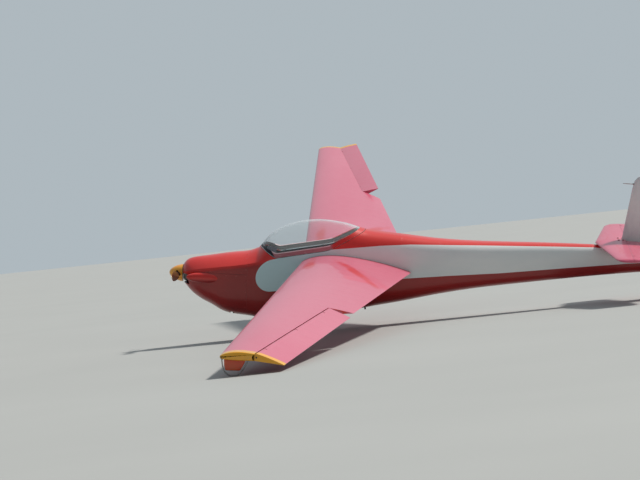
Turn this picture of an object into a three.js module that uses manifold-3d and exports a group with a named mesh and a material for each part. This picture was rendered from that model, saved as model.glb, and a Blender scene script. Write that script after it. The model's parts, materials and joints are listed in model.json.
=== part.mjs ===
// Single-seat motor glider at full size, parked on its main wheel, its tail wheel
// and the steel hoop under its port wing tip, with the stick held over to starboard.
// It is built in body axes, in millimetres: X aft from the spinner's tip, Y to
// starboard, Z up from the thrust line. The last section stands it on the ground.
import * as THREE from 'three';
import { mergeVertices } from 'three/addons/utils/BufferGeometryUtils.js';
import Module from 'manifold-3d';

const wasm = await Module();
wasm.setup();

// Driving dimensions
const SEAT_GAP = 0.3;          // between pieces that rest on each other
const SWING_GAP = 6;           // between a hinged surface and its cove
const DEGREE = Math.PI / 180;

const SPINNER = { length: 155, radius: 98, wall: 4 };
const PROPELLER = { radius: 640, bossRadius: 50, bossFront: 82, bossBack: 124, parkedAngle: 4 * DEGREE };
const COWL = { front: 165, back: 895, splitZ: 55, wall: 5 };
const INTAKE = { back: 240, halfWidth: 172, low: -100, high: 14 };
const OUTLET = { front: 700, back: 752, halfWidth: 150, low: -600, high: -300 };
const CHEEK = { x: 415, y: 236, z: -6, halfLength: 200, halfWidth: 48, halfHeight: 58 };
const ENGINE = { front: 330, back: 660, halfWidth: 165, low: -150, high: 110 };
const MOUNT = {
  plate: 10, halfWidth: 170, low: -140, high: 110,
  legRadius: 12, legY: 140, legLow: -110, legHigh: 80,
};
const EXHAUST = { radius: 17, y: 110, x: 600, bendX: 640, bendZ: -240, endX: 732, endZ: -452 };
const CABIN_BACK = 2250;
const STERN = 5575;
const CABIN_WALL = 24;
const CANOPY = { gap: 6, frameWall: 16, glassWall: 4 };
const CANOPY_HINGES = { y: 303, front: 1267, back: 1693, drop: 3, reach: 32, neck: 8, foot: 34 };

const WING = {
  halfSpan: 7150, rootLead: 1492, sweep: -0.0349, rootChord: 1245, tipChord: 540,
  leadZ: 185, dihedral: 0.054, incidence: 2 * DEGREE, thickness: 0.14, camber: 0.035, capLength: 70,
};
const AILERON = { inner: 4050, outer: 7148, innerHinge: 1990, outerHinge: 1548, endGap: 10 };
const RIB_SLANT = { length: 270, inward: 170 };   // the rib beside the aileron leans inboard as it runs aft
const AILERON_UP = 30 * DEGREE;      // starboard aileron as parked
const AILERON_DOWN = 7 * DEGREE;     // port aileron as parked

const TAIL = { halfSpan: 1260, hingeX: 5060, planeZ: 548, incidence: -2.5 * DEGREE, thickness: 0.11 };
const ELEVATOR_INNER = 118;
const FIN = { hingeX: 5620, thickness: 0.055, baseZ: 480, topZ: 1302 };
const RUDDER_BOTTOM = 272;

const MAIN_FORK = { inner: 70, outer: 78, topHalf: 90, footHalf: 28 };
const TAIL_FORK = { inner: 32, outer: 38, crownZ: 186, kingpinRadius: 12 };
const MAIN_WHEEL = { x: 1450, z: -452, radius: 180, width: 125, rimRadius: 70, axleRadius: 10 };
const TAIL_WHEEL = { x: 5450, z: 56, radius: 100, width: 50, rimRadius: 52, axleRadius: 6, kingpinX: 5375 };
const WELL = { front: 1235, back: 1665, halfWidth: 88, roof: -250 };

// Finishes
const paint = (color, roughness = 0.35, metalness = 0.05) =>
  new THREE.MeshStandardMaterial({ color, roughness, metalness });
const FINISH = {
  red: () => paint(0xc42e2e),
  fadedRed: () => paint(0xd98a99),
  white: () => paint(0xd8d8d2),
  yellow: () => paint(0xd39a1e),
  orange: () => paint(0xc0481c),
  steel: () => paint(0x9a9da0, 0.4, 0.9),
  darkSteel: () => paint(0x44474a, 0.5, 0.8),
  castAlloy: () => paint(0x8e9092, 0.6, 0.8),
  rubber: () => paint(0x1f1f20, 0.85, 0),
  panel: () => paint(0x1e2230, 0.7, 0),
  wood: () => paint(0x7a5230, 0.5, 0),
  cloth: () => paint(0x3a3f4a, 0.9, 0),
  glass: () => new THREE.MeshStandardMaterial({
    color: 0xcfe0e4, roughness: 0.05, transparent: true, opacity: 0.35,
  }),
};

// Solids
const at = (x, y, z) => new THREE.Vector3(x, y, z);

function toSolid(geometry) {
  const bare = geometry.clone();
  bare.deleteAttribute('normal');
  bare.deleteAttribute('uv');
  const merged = mergeVertices(bare, 1e-3);
  return new wasm.Manifold(new wasm.Mesh({
    numProp: 3,
    vertProperties: new Float32Array(merged.attributes.position.array),
    triVerts: new Uint32Array(merged.index.array),
  }));
}

function toGeometry(solid) {
  const mesh = solid.getMesh();
  const geometry = new THREE.BufferGeometry();
  geometry.setAttribute('position', new THREE.BufferAttribute(mesh.vertProperties.slice(), 3));
  geometry.setIndex(new THREE.BufferAttribute(mesh.triVerts.slice(), 1));
  return geometry;
}

const join = (...solids) => solids.reduce((whole, solid) => whole.add(solid));
const cut = (solid, ...tools) => tools.reduce((rest, tool) => rest.subtract(tool), solid);

// A closed skin over rings of equal point counts; flatAxis is the axis that each ring is square to.
function loft(rings, flatAxis) {
  const count = rings[0].length;
  const positions = rings.flat().flatMap((point) => point.toArray());
  const faces = [];
  for (let ring = 0; ring + 1 < rings.length; ring++) {
    for (let i = 0; i < count; i++) {
      const near = ring * count + i;
      const next = ring * count + ((i + 1) % count);
      faces.push([near, next, next + count], [near, next + count, near + count]);
    }
  }
  const [across, up] = ['x', 'y', 'z'].filter((axis) => axis !== flatAxis);
  const capFaces = (ring) => THREE.ShapeUtils.triangulateShape(
    ring.map((point) => new THREE.Vector2(point[across], point[up])), []);
  const turn = THREE.ShapeUtils.isClockWise(
    rings[0].map((point) => new THREE.Vector2(point[across], point[up])));
  const last = (rings.length - 1) * count;
  for (const [a, b, c] of capFaces(rings[0])) faces.push(turn ? [a, b, c] : [a, c, b]);
  for (const [a, b, c] of capFaces(rings.at(-1))) {
    faces.push(turn ? [last + a, last + c, last + b] : [last + a, last + b, last + c]);
  }
  const corner = (index) => new THREE.Vector3().fromArray(positions, 3 * index);
  const volume = faces.reduce((sum, [a, b, c]) => sum + corner(a).dot(corner(b).cross(corner(c))), 0);
  const outward = volume > 0 ? faces : faces.map(([a, b, c]) => [a, c, b]);
  const geometry = new THREE.BufferGeometry();
  geometry.setAttribute('position', new THREE.Float32BufferAttribute(positions, 3));
  geometry.setIndex(outward.flat());
  return toSolid(geometry);
}

// A side-view outline of [x, z] corners, as thick as the span from lowY to highY
function sidePlate(outline, lowY, highY, holes = []) {
  const shape = new THREE.Shape(outline.map(([x, z]) => new THREE.Vector2(x, z)));
  shape.holes = holes;
  const geometry = new THREE.ExtrudeGeometry(shape, { depth: highY - lowY, bevelEnabled: false });
  return toSolid(geometry.rotateX(Math.PI / 2).translate(0, highY, 0));
}

function box([lowX, lowY, lowZ], [highX, highY, highZ]) {
  const geometry = new THREE.BoxGeometry(highX - lowX, highY - lowY, highZ - lowZ);
  return toSolid(geometry.translate((lowX + highX) / 2, (lowY + highY) / 2, (lowZ + highZ) / 2));
}

// A cylinder between two points, or a cone frustum when the radii differ
function rod(start, end, radius, endRadius = radius, sides = 20) {
  const along = end.clone().sub(start);
  const geometry = new THREE.CylinderGeometry(endRadius, radius, along.length(), sides);
  const turn = new THREE.Quaternion().setFromUnitVectors(at(0, 1, 0), along.clone().normalize());
  const middle = start.clone().add(end).multiplyScalar(0.5);
  return toSolid(geometry.applyQuaternion(turn).translate(middle.x, middle.y, middle.z));
}

// A round bar bent along a smooth curve through its points
function bentBar(points, radius, steps) {
  const section = new THREE.Shape();
  section.absarc(0, 0, radius, 0, 2 * Math.PI);
  const extrudePath = new THREE.CatmullRomCurve3(points);
  return toSolid(new THREE.ExtrudeGeometry(section, {
    steps, extrudePath, curveSegments: 4, bevelEnabled: false,
  }));
}

// A turned piece: [radius, distance] pairs spun about the X or the Y axis
function turned(profile, axis, sides) {
  const geometry = new THREE.LatheGeometry(profile.map(([r, d]) => new THREE.Vector2(r, d)), sides);
  if (axis === 'x') geometry.rotateZ(-Math.PI / 2);
  return toSolid(geometry);
}

const mirrored = (solid) => solid.mirror([0, 1, 0]);
const between = (low, high, share) => low + (high - low) * share;

// Interpolates a table row at a key in its first column
function rowAt(table, key) {
  const found = table.findIndex((row) => row[0] >= key);
  const next = found < 0 ? table.length - 1 : Math.max(found, 1);
  const [low, high] = [table[next - 1], table[next]];
  const share = (key - low[0]) / (high[0] - low[0]);
  return low.map((value, column) => between(value, high[column], share));
}

// Fuselage sections: station x, half width, top z, bottom z, z of the widest point,
// and how square the upper and the lower half are (2 is an ellipse)
const FUSELAGE = [
  [165, 105, 110, -95, 8, 2.1, 2.1],
  [190, 145, 142, -118, 8, 2.2, 2.1],
  [230, 180, 168, -165, 5, 2.4, 2.2],
  [290, 208, 186, -222, 0, 2.6, 2.2],
  [380, 235, 202, -280, -5, 2.8, 2.3],
  [490, 257, 221, -332, -5, 3.1, 2.4],
  [600, 272, 241, -392, 0, 3.3, 2.5],
  [700, 281, 257, -422, 5, 3.5, 2.6],
  [895, 291, 284, -442, 10, 3.4, 2.6],
  [1000, 296, 328, -456, 15, 3.1, 2.6],
  [1110, 299, 474, -464, 25, 2.8, 2.6],
  [1280, 302, 580, -467, 40, 2.5, 2.6],
  [1440, 303, 636, -462, 50, 2.4, 2.6],
  [1560, 303, 656, -449, 55, 2.4, 2.6],
  [1710, 303, 664, -420, 60, 2.4, 2.6],
  [1940, 300, 638, -357, 75, 2.5, 2.6],
  [2170, 288, 576, -303, 95, 2.8, 2.6],
  [2330, 276, 557, -266, 110, 2.9, 2.6],
  [2600, 257, 535, -206, 130, 3.0, 2.7],
  [3000, 228, 503, -109, 160, 3.0, 2.7],
  [3443, 203, 494, -20, 195, 3.0, 2.7],
  [4200, 160, 507, 95, 265, 2.9, 2.7],
  [4700, 128, 510, 165, 310, 2.8, 2.6],
  [5200, 98, 504, 226, 345, 2.7, 2.5],
  [5600, 66, 494, 268, 370, 2.5, 2.4],
];
const FUSELAGE_SIDES = 32;

// The nose's top is a low arch over an edge on each flank: station x, z of that edge, and
// how far the section has turned from its plain curve into the arch
const DECK_EDGE = [
  [165, 44, 0],
  [190, 50, 0.3],
  [230, 60, 0.7],
  [290, 72, 1],
  [380, 90, 1],
  [490, 108, 1],
  [600, 127, 1],
  [700, 142, 1],
  [895, 173, 1],
  [1000, 198, 1],
  [1110, 232, 0.35],
  [1280, 336, 0],
];
const EDGE_TURN = 5 / 16;      // the edge's place between the widest point and the top

function fuselageRing(x, inset) {
  const [, halfWidth, top, bottom, middle, upperPower, lowerPower] = rowAt(FUSELAGE, x);
  const bend = (value, power) => Math.sign(value) * Math.abs(value) ** (2 / power);
  const reachUp = top - middle - inset;
  const plainEdge = bend(Math.sin(EDGE_TURN * Math.PI / 2), upperPower);
  const [, edgeZ, arch] = rowAt(DECK_EDGE, x);
  const onNose = x < DECK_EDGE.at(-1)[0];
  const edge = onNose ? (edgeZ - middle) / (top - middle) : plainEdge;
  const edgeAngle = Math.asin(edge ** (upperPower / 2));
  const upper = (turn) => {
    const share = 1 - Math.abs(1 - turn / (Math.PI / 2));
    const angle = share < EDGE_TURN
      ? between(0, edgeAngle, share / EDGE_TURN)
      : between(edgeAngle, Math.PI / 2, (share - EDGE_TURN) / (1 - EDGE_TURN));
    const across = bend(Math.cos(angle), upperPower);
    const plain = bend(Math.sin(angle), upperPower);
    const arched = 1 - (1 - edge) * (across / bend(Math.cos(edgeAngle), upperPower)) ** 2;
    const height = onNose && share > EDGE_TURN ? between(plain, arched, arch) : plain;
    return at(x, Math.sign(Math.cos(turn)) * (halfWidth - inset) * across, middle + reachUp * height);
  };
  const lower = (turn) => at(x, (halfWidth - inset) * bend(Math.cos(turn), lowerPower),
    middle + (middle - bottom - inset) * bend(Math.sin(turn), lowerPower));
  return Array.from({ length: FUSELAGE_SIDES }, (_, i) => {
    const turn = (2 * Math.PI * (i + 0.5)) / FUSELAGE_SIDES;
    return turn < Math.PI ? upper(turn) : lower(turn);
  });
}

// The fuselage's outer form, drawn in by inset (or grown, when it is negative)
function fuselageForm(front, back, inset = 0) {
  const stations = FUSELAGE.map(([x]) => x).filter((x) => x > front && x < back);
  return loft([front, ...stations, back].map((x) => fuselageRing(x, inset)), 'x');
}

// Flying surfaces. A section has a leading point, a chord, a thickness and camber as
// shares of the chord, the directions of its chord and of its upper side, and its hinge
// as a distance along the chord.
const FOIL_STEPS = 8;
const EDGE_HALF = 1.5;      // half the thickness of a trailing edge
const halfThickness = (u, t) =>
  5 * t * (0.2969 * Math.sqrt(u) - 0.126 * u - 0.3516 * u ** 2 + 0.2843 * u ** 3 - 0.1036 * u ** 4);

function camberHeight(u, camber) {
  const crest = 0.4;
  if (u < crest) return (camber / crest ** 2) * (2 * crest * u - u * u);
  return (camber / (1 - crest) ** 2) * (1 - 2 * crest + 2 * crest * u - u * u);
}

function foilPoint(section, u, side, grow = 0) {
  const { lead, chord, thickness, camber, chordDir, upDir } = section;
  const height = chord * (camberHeight(u, camber) + side * halfThickness(u, thickness));
  return lead.clone()
    .addScaledVector(chordDir, u * chord + grow * (2 * u - 1))
    .addScaledVector(upDir, height + side * (EDGE_HALF * u + grow));
}

// The whole section, from the upper trailing edge round the nose to the lower one
function foilRing(section, grow = 0) {
  const spread = (k) => (1 - Math.cos((Math.PI * k) / FOIL_STEPS)) / 2;
  const steps = Array.from({ length: FOIL_STEPS }, (_, k) => k + 1);
  const upper = steps.map((k) => foilPoint(section, spread(FOIL_STEPS + 1 - k), 1, grow));
  const lower = steps.map((k) => foilPoint(section, spread(k), -1, grow));
  return [...upper, foilPoint(section, 0, 0, grow), ...lower];
}

function hingeOf(section) {
  const u = section.hinge / section.chord;
  const centre = section.lead.clone()
    .addScaledVector(section.chordDir, section.hinge)
    .addScaledVector(section.upDir, section.chord * camberHeight(u, section.camber));
  return { u, centre, radius: section.chord * halfThickness(u, section.thickness) + EDGE_HALF * u };
}

const NOSE_STEPS = 6;
function noseArc(section, radius) {
  const { centre } = hingeOf(section);
  return Array.from({ length: NOSE_STEPS + 1 }, (_, k) => {
    const angle = Math.PI * (0.5 + k / NOSE_STEPS);
    return centre.clone()
      .addScaledVector(section.chordDir, radius * Math.cos(angle))
      .addScaledVector(section.upDir, radius * Math.sin(angle));
  });
}

// The moving part of a section: a round nose on the hinge, then the surface to the edge
function movingRing(section) {
  const { u, radius } = hingeOf(section);
  const half = (1 + u) / 2;
  return [
    foilPoint(section, 1, 1), foilPoint(section, half, 1), ...noseArc(section, radius),
    foilPoint(section, half, -1), foilPoint(section, 1, -1),
  ];
}

// The room that the moving part swings in, open behind
function coveRing(section) {
  const room = hingeOf(section).radius + SWING_GAP;
  const arc = noseArc(section, room);
  const back = section.chord - section.hinge + 150;
  const behind = (point) => point.clone().addScaledVector(section.chordDir, back);
  return [behind(arc[0]), ...arc, behind(arc.at(-1))];
}

function wingSection(y) {
  const span = Math.abs(y);
  const leadX = WING.rootLead + WING.sweep * span;
  const hingeShare = (span - AILERON.inner) / (AILERON.outer - AILERON.inner);
  return {
    lead: at(leadX, y, WING.leadZ + WING.dihedral * span),
    chord: between(WING.rootChord, WING.tipChord, span / WING.halfSpan),
    thickness: WING.thickness,
    camber: WING.camber,
    chordDir: at(Math.cos(WING.incidence), 0, -Math.sin(WING.incidence)),
    upDir: at(Math.sin(WING.incidence), 0, Math.cos(WING.incidence)),
    hinge: between(AILERON.innerHinge, AILERON.outerHinge, hingeShare) - leadX,
  };
}

// Tailplane outline: y, leading edge x, trailing edge x
const TAIL_OUTLINE = [
  [0, 4712, 5405],
  [1150, 4872, 5350],
  [1215, 4898, 5328],
  [1245, 4925, 5300],
  [1260, 4965, 5255],
];
function tailSection(y) {
  const [, leadX, edgeX] = rowAt(TAIL_OUTLINE, Math.abs(y));
  const chordDir = at(Math.cos(TAIL.incidence), 0, -Math.sin(TAIL.incidence));
  return {
    lead: at(leadX, y, TAIL.planeZ - (leadX - TAIL.hingeX) * Math.tan(TAIL.incidence)),
    chord: edgeX - leadX,
    thickness: TAIL.thickness,
    camber: 0,
    chordDir,
    upDir: at(Math.sin(TAIL.incidence), 0, Math.cos(TAIL.incidence)),
    hinge: (TAIL.hingeX - leadX) / Math.cos(TAIL.incidence),
  };
}

// Fin and rudder outline: z, leading edge x, trailing edge x
const FIN_OUTLINE = [
  [272, 4950, 6330],
  [315, 4957, 6455],
  [400, 4970, 6540],
  [520, 4989, 6575],
  [1150, 5087, 6170],
  [1235, 5108, 6095],
  [1280, 5145, 6020],
  [1302, 5215, 5930],
];
function finSection(z) {
  const [, leadX, edgeX] = rowAt(FIN_OUTLINE, z);
  return {
    lead: at(leadX, 0, z), chord: edgeX - leadX, thickness: FIN.thickness, camber: 0,
    chordDir: at(1, 0, 0), upDir: at(0, 1, 0), hinge: FIN.hingeX - leadX,
  };
}

// Spans from one key to another by way of the table's own keys
const spans = (table, from, to) =>
  [from, ...table.map(([key]) => key).filter((key) => key > from && key < to), to];

// Plain hinges: lugs that stand on the fixed side, and pins across slots in the moving side
const LUG = { radius: 10, hole: 5.5, pin: 5, halfWidth: 4, slotHalfWidth: 9, bury: 14 };

function hingeFrame(start, end, aft) {
  const along = end.clone().sub(start).normalize();
  const up = aft.clone().cross(along).normalize();
  const back = along.clone().cross(up);
  return new THREE.Matrix4().makeBasis(back, along, up);
}

function addHinges(fixed, moving, start, end, aft, shares, reach) {
  const frame = hingeFrame(start, end, aft);
  const placed = (solid, point) => solid.transform(frame.clone().setPosition(point).elements);
  const hole = new THREE.Path();
  hole.absarc(0, 0, LUG.hole, 0, 2 * Math.PI, true);
  let [held, swung] = [fixed, moving];
  for (const share of shares) {
    const point = start.clone().lerp(end, share);
    const arm = new THREE.Shape();
    arm.absarc(0, 0, LUG.radius, -Math.PI / 2, Math.PI / 2);
    arm.lineTo(-reach - LUG.bury, LUG.radius);
    arm.lineTo(-reach - LUG.bury, -LUG.radius);
    arm.holes.push(hole);
    const geometry = new THREE.ExtrudeGeometry(arm, {
      depth: 2 * LUG.halfWidth, bevelEnabled: false, curveSegments: 8,
    });
    const lug = toSolid(geometry.rotateX(Math.PI / 2).translate(0, LUG.halfWidth, 0));
    const slotReach = LUG.radius + SWING_GAP;
    const slot = box(
      [-reach - SWING_GAP, -LUG.slotHalfWidth, -reach - SWING_GAP],
      [slotReach, LUG.slotHalfWidth, reach + SWING_GAP]);
    const pinHalf = LUG.slotHalfWidth + 6;
    const pin = rod(at(0, -pinHalf, 0), at(0, pinHalf, 0), LUG.pin, LUG.pin, 16);
    held = held.add(placed(lug, point));
    swung = swung.subtract(placed(slot, point)).add(placed(pin, point));
  }
  return [held, swung];
}

// The scene graph: body axes in one group, so that the whole aircraft is stood on the ground at once
const airframe = new THREE.Group();
function place(name, solid, finish, parent = airframe) {
  const mesh = new THREE.Mesh(toGeometry(solid), finish);
  mesh.name = name;
  parent.add(mesh);
  return mesh;
}

// A group turned about a line through a point; pieces are drawn unturned, in body axes
function turnedGroup(point, axis, angle) {
  const group = new THREE.Group();
  group.quaternion.setFromAxisAngle(axis.clone().normalize(), angle);
  group.position.copy(point).sub(point.clone().applyQuaternion(group.quaternion));
  airframe.add(group);
  return group;
}

// Fuselage: cowling, cabin and tail boom
// Side-view line where the canopy meets the cabin: x, z, and how high the frame stands on it
const CANOPY_LINE = [
  [960, 352, 18],
  [1050, 345, 28],
  [1185, 262, 55],
  [1215, 258, 52],
  [1800, 368, 50],
  [2215, 604, 50],
];
const above = (shift, frameShare = 0) => [
  ...CANOPY_LINE.map(([x, z, frame]) => [x, z + frame * frameShare + shift]), [2215, 900], [960, 900],
];
const CABIN_SPACE = [
  [918, -325], [1215, -325], [1235, -226], [1985, -226], [2065, 315], [2200, 530], [2200, 900], [918, 900],
];
const fuselage = fuselageForm(COWL.front, STERN);
const fuselageGrown = fuselageForm(COWL.front, STERN + 10, -SEAT_GAP);

function makeCowling() {
  const { front, back, wall, splitZ } = COWL;
  const rear = back - SEAT_GAP;
  const skin = cut(fuselageForm(front, rear), fuselageForm(front - 1, rear + 1, wall));
  const opening = (from, to, { halfWidth, low, high }) => box([from, -halfWidth, low], [to, halfWidth, high]);
  const intake = opening(front - 10, INTAKE.back, INTAKE);
  const outlet = opening(OUTLET.front, OUTLET.back, OUTLET);
  const upperSpace = box([0, -500, splitZ + SEAT_GAP], [back, 500, 600]);
  const lowerSpace = box([0, -500, -600], [back, 500, splitZ]);
  place('cowl_upper', skin.intersect(upperSpace), FINISH.red());
  place('cowl_lower', cut(skin.intersect(lowerSpace), intake, outlet), FINISH.red());
  const bulge = (side) => {
    const { x, y, z, halfLength, halfWidth, halfHeight } = CHEEK;
    const ball = new THREE.SphereGeometry(1, 16, 10).scale(halfLength, halfWidth, halfHeight);
    return cut(toSolid(ball.translate(x, side * y, z)), fuselageForm(front, rear, -SEAT_GAP));
  };
  place('cheek_left', bulge(-1), FINISH.red());
  place('cheek_right', bulge(1), FINISH.red());
}

function makeEngine() {
  const { front, back, halfWidth, low, high } = ENGINE;
  place('engine_block', box([front, -halfWidth, low], [back, halfWidth, high]),
    FINISH.castAlloy());
  const plateBack = COWL.back - SEAT_GAP;
  const plateFront = plateBack - MOUNT.plate;
  const { legY, legLow, legHigh, legRadius } = MOUNT;
  const legs = [[-legY, legLow], [-legY, legHigh], [legY, legLow], [legY, legHigh]].map(([y, z]) =>
    rod(at(back + SEAT_GAP, y, z), at(plateFront + 2, y, z), legRadius, legRadius, 12));
  const plate = box([plateFront, -MOUNT.halfWidth, MOUNT.low], [plateBack, MOUNT.halfWidth, MOUNT.high]);
  place('engine_mount', join(plate, ...legs), FINISH.darkSteel());
  const { y, x, bendX, bendZ, endX, endZ, radius } = EXHAUST;
  const pipe = bentBar([
    at(x, y, low + 20), at(x + 2, y, low - 20), at(bendX, y, bendZ),
    at(endX - 32, y - 5, bendZ - 95), at(endX - 6, y - 10, endZ + 50), at(endX, y - 12, endZ),
  ], radius, 10);
  place('exhaust_pipe', cut(pipe, box([500, 0, low - SEAT_GAP], [back, 300, high])), FINISH.darkSteel());
}

function makeCabin() {
  const cabin = fuselageForm(COWL.back, CABIN_BACK - SEAT_GAP);
  const inside = fuselageForm(COWL.back + 5, CABIN_BACK + 5, CABIN_WALL)
    .intersect(sidePlate(CABIN_SPACE, -400, 400));
  const well = box([WELL.front, -WELL.halfWidth, -700], [WELL.back, WELL.halfWidth, WELL.roof]);
  return cut(cabin, sidePlate(above(-CANOPY.gap), -400, 400), inside, well);
}

function makeCanopy() {
  const whole = fuselageForm(COWL.back, CABIN_BACK);
  const shell = (wall) => cut(whole, fuselageForm(COWL.back - 1, CABIN_BACK + 1, wall));
  const rail = shell(CANOPY.frameWall).intersect(sidePlate(above(0), -400, 400));
  const frame = cut(rail, sidePlate(above(0, 1), -400, 400));
  const glass = shell(CANOPY.glassWall).intersect(sidePlate(above(SEAT_GAP, 1), -400, 400));
  return { frame, glass };
}

// The canopy tips over to starboard on two hinges below its rail: each has two eyes on the
// cabin, and a leaf with a pin on the frame between them
const canopyHingeAt = (x) => at(x, CANOPY_HINGES.y, rowAt(CANOPY_LINE, x)[1] - CANOPY_HINGES.drop);
const CANOPY_HINGE = { start: canopyHingeAt(CANOPY_HINGES.front), end: canopyHingeAt(CANOPY_HINGES.back) };
function canopyHinges(cabin, frame) {
  const { start, end } = CANOPY_HINGE;
  const { reach, neck, foot } = CANOPY_HINGES;
  const along = end.clone().sub(start).normalize();
  const turn = new THREE.Matrix4().makeBasis(
    along, at(0, 1, 0), along.clone().cross(at(0, 1, 0)));
  const plate = (corners, from, to, holes = []) => {
    const shape = new THREE.Shape();
    shape.absarc(0, 0, LUG.radius, -Math.PI / 2, Math.PI / 2);
    corners.forEach(([y, z]) => shape.lineTo(y, z));
    shape.holes = holes;
    const geometry = new THREE.ExtrudeGeometry(shape, {
      depth: to - from, bevelEnabled: false, curveSegments: 8,
    });
    geometry.applyMatrix4(new THREE.Matrix4().makeBasis(at(0, 1, 0), at(0, 0, 1), at(1, 0, 0)));
    return toSolid(geometry.translate(from, 0, 0));
  };
  const hole = new THREE.Path();
  hole.absarc(0, 0, LUG.hole, 0, 2 * Math.PI, true);
  const eye = (from, to) => plate([[-reach, -neck], [-reach, -foot]], from, to, [hole]);
  const wall = box([-8, -60, -60], [8, -14, 6]);
  const leaf = cut(plate([[-reach, foot], [-reach, neck]], -6, 6), wall);
  const pin = rod(at(-18, 0, 0), at(18, 0, 0), LUG.pin, LUG.pin, 16);
  let [fixed, moving] = [cabin, frame];
  for (const point of [start, end]) {
    const placed = (solid) => solid.transform(turn.clone().setPosition(point).elements);
    fixed = fixed.add(placed(eye(-18, -9))).add(placed(eye(9, 18)));
    moving = moving.add(placed(leaf)).add(placed(pin));
  }
  return [fixed, moving];
}

makeCowling();
makeEngine();
const canopyParts = makeCanopy();
const [cabinSolid, canopyFrameSolid] = canopyHinges(makeCabin(), canopyParts.frame);
place('fuselage_cabin', cabinSolid, FINISH.red());
place('canopy_frame', canopyFrameSolid, FINISH.fadedRed());
place('canopy_glass', canopyParts.glass, FINISH.glass());

// Cockpit: the panel, a wooden seat with two cushions, the stick, pedals and throttle
const PANEL_OUTLINE = [[1095, 20], [1112, 20], [1112, 262], [1190, 290], [1190, 300], [1095, 330]];
const SEAT = {
  front: 1480, lip: 20, back: 1905, frontRise: 62, backRise: 18, halfWidth: 215,
  backFoot: 1915, backTop: 2005, footDepth: 45, topDepth: 30, topZ: 300,
};
const SEAT_CUSHION = { front: 1512, back: 1888, depth: 52, halfWidth: 195 };
const BACK_CUSHION = { lift: 78, drop: 14, lowDepth: 30, highDepth: 46, halfWidth: 185 };
const STICK = { x: 1400, lean: 15 * DEGREE, radius: 11, gripFrom: 335, gripTo: 430, baseRadius: 34 };
const PEDALS = { x: 1010, y: 95, armTop: 190, plateFrom: 120, plateTo: 215, plateHalf: 38, barHalf: 150 };
const THROTTLE = { x: 1375, y: -246, z: 120, knobX: 1362, knobY: -214, knobZ: 212, knobRadius: 15 };

function makeSeat(floor) {
  const { front, lip, back, frontRise, backRise, backFoot, backTop, footDepth, topDepth, topZ } = SEAT;
  const pan = [[front, floor], [back, floor], [back, floor + backRise], [front + lip, floor + frontRise],
    [front, floor + frontRise]];
  place('seat_pan', sidePlate(pan, -SEAT.halfWidth, SEAT.halfWidth), FINISH.wood());
  const panTop = (x) =>
    floor + between(frontRise, backRise, (x - front - lip) / (back - front - lip)) + SEAT_GAP;
  const low = [panTop(SEAT_CUSHION.front), panTop(SEAT_CUSHION.back)];
  const cushion = [[SEAT_CUSHION.front, low[0]], [SEAT_CUSHION.back, low[1]],
    [SEAT_CUSHION.back + 3, low[1] + SEAT_CUSHION.depth],
    [SEAT_CUSHION.front + 18, panTop(SEAT_CUSHION.front + 18) + SEAT_CUSHION.depth]];
  place('seat_cushion', sidePlate(cushion, -SEAT_CUSHION.halfWidth, SEAT_CUSHION.halfWidth),
    FINISH.cloth());

  const rest = [[backFoot, floor], [backFoot + footDepth, floor], [backTop + topDepth, topZ - 10],
    [backTop, topZ]];
  place('seat_back', sidePlate(rest, 10 - SEAT.halfWidth, SEAT.halfWidth - 10), FINISH.wood());
  const backFace = (z) => between(backFoot, backTop, (z - floor) / (topZ - floor)) - SEAT_GAP;
  const [lowZ, highZ] = [floor + BACK_CUSHION.lift, topZ - BACK_CUSHION.drop];
  const pad = [[backFace(lowZ), lowZ], [backFace(highZ), highZ],
    [backFace(highZ) - BACK_CUSHION.highDepth, highZ + 5],
    [backFace(lowZ) - BACK_CUSHION.lowDepth, lowZ + 6]];
  place('back_cushion', sidePlate(pad, -BACK_CUSHION.halfWidth, BACK_CUSHION.halfWidth), FINISH.cloth());
}

function makeControls(floor, pedalFloor, cabinRoom) {
  const { x, lean, radius, gripFrom, gripTo, baseRadius } = STICK;
  const lever = join(
    bentBar([at(0, 0, 10), at(-4, 0, 120), at(12, 0, 260), at(8, 0, gripFrom + 10)], radius, 8),
    rod(at(8, 0, gripFrom), at(4, 0, gripTo), 16, 18, 14));
  const leaned = lever.rotate([-lean / DEGREE, 0, 0]).translate([x, 0, floor]);
  place('control_stick', join(leaned, rod(at(x, 0, floor), at(x, 0, floor + 22), baseRadius)),
    FINISH.darkSteel());

  const { armTop, plateFrom, plateTo, plateHalf, barHalf } = PEDALS;
  const footX = PEDALS.x - 25;
  const [lowZ, highZ] = [pedalFloor + plateFrom, pedalFloor + plateTo];
  const pedal = (y) => join(
    rod(at(PEDALS.x, y, pedalFloor + 4), at(footX, y, pedalFloor + armTop), 8, 8, 10),
    box([footX - 10, y - plateHalf, lowZ], [footX + 10, y + plateHalf, highZ]));
  const bar = box([PEDALS.x - 10, -barHalf, pedalFloor], [PEDALS.x + 15, barHalf, pedalFloor + 12]);
  place('rudder_pedals', join(bar, pedal(-PEDALS.y), pedal(PEDALS.y)), FINISH.steel());

  const { y, z, knobX, knobY, knobZ, knobRadius } = THROTTLE;
  const knob = new THREE.SphereGeometry(knobRadius, 12, 8).translate(knobX, knobY, knobZ);
  const throttle = join(
    box([THROTTLE.x - 45, -300, z - 30], [THROTTLE.x + 45, y + 6, z + 30]),
    rod(at(THROTTLE.x, y, z), at(knobX, knobY, knobZ - 7), 6, 6, 10),
    toSolid(knob));
  place('throttle_lever', throttle.intersect(cabinRoom), FINISH.darkSteel());
}

const cabinRoom = fuselageForm(COWL.back + 6, CABIN_BACK, CABIN_WALL + SEAT_GAP);
place('instrument_panel', sidePlate(PANEL_OUTLINE, -400, 400).intersect(cabinRoom), FINISH.panel());
makeSeat(CABIN_SPACE[2][1] + SEAT_GAP);
makeControls(CABIN_SPACE[2][1] + SEAT_GAP, CABIN_SPACE[0][1] + SEAT_GAP, cabinRoom);

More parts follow.
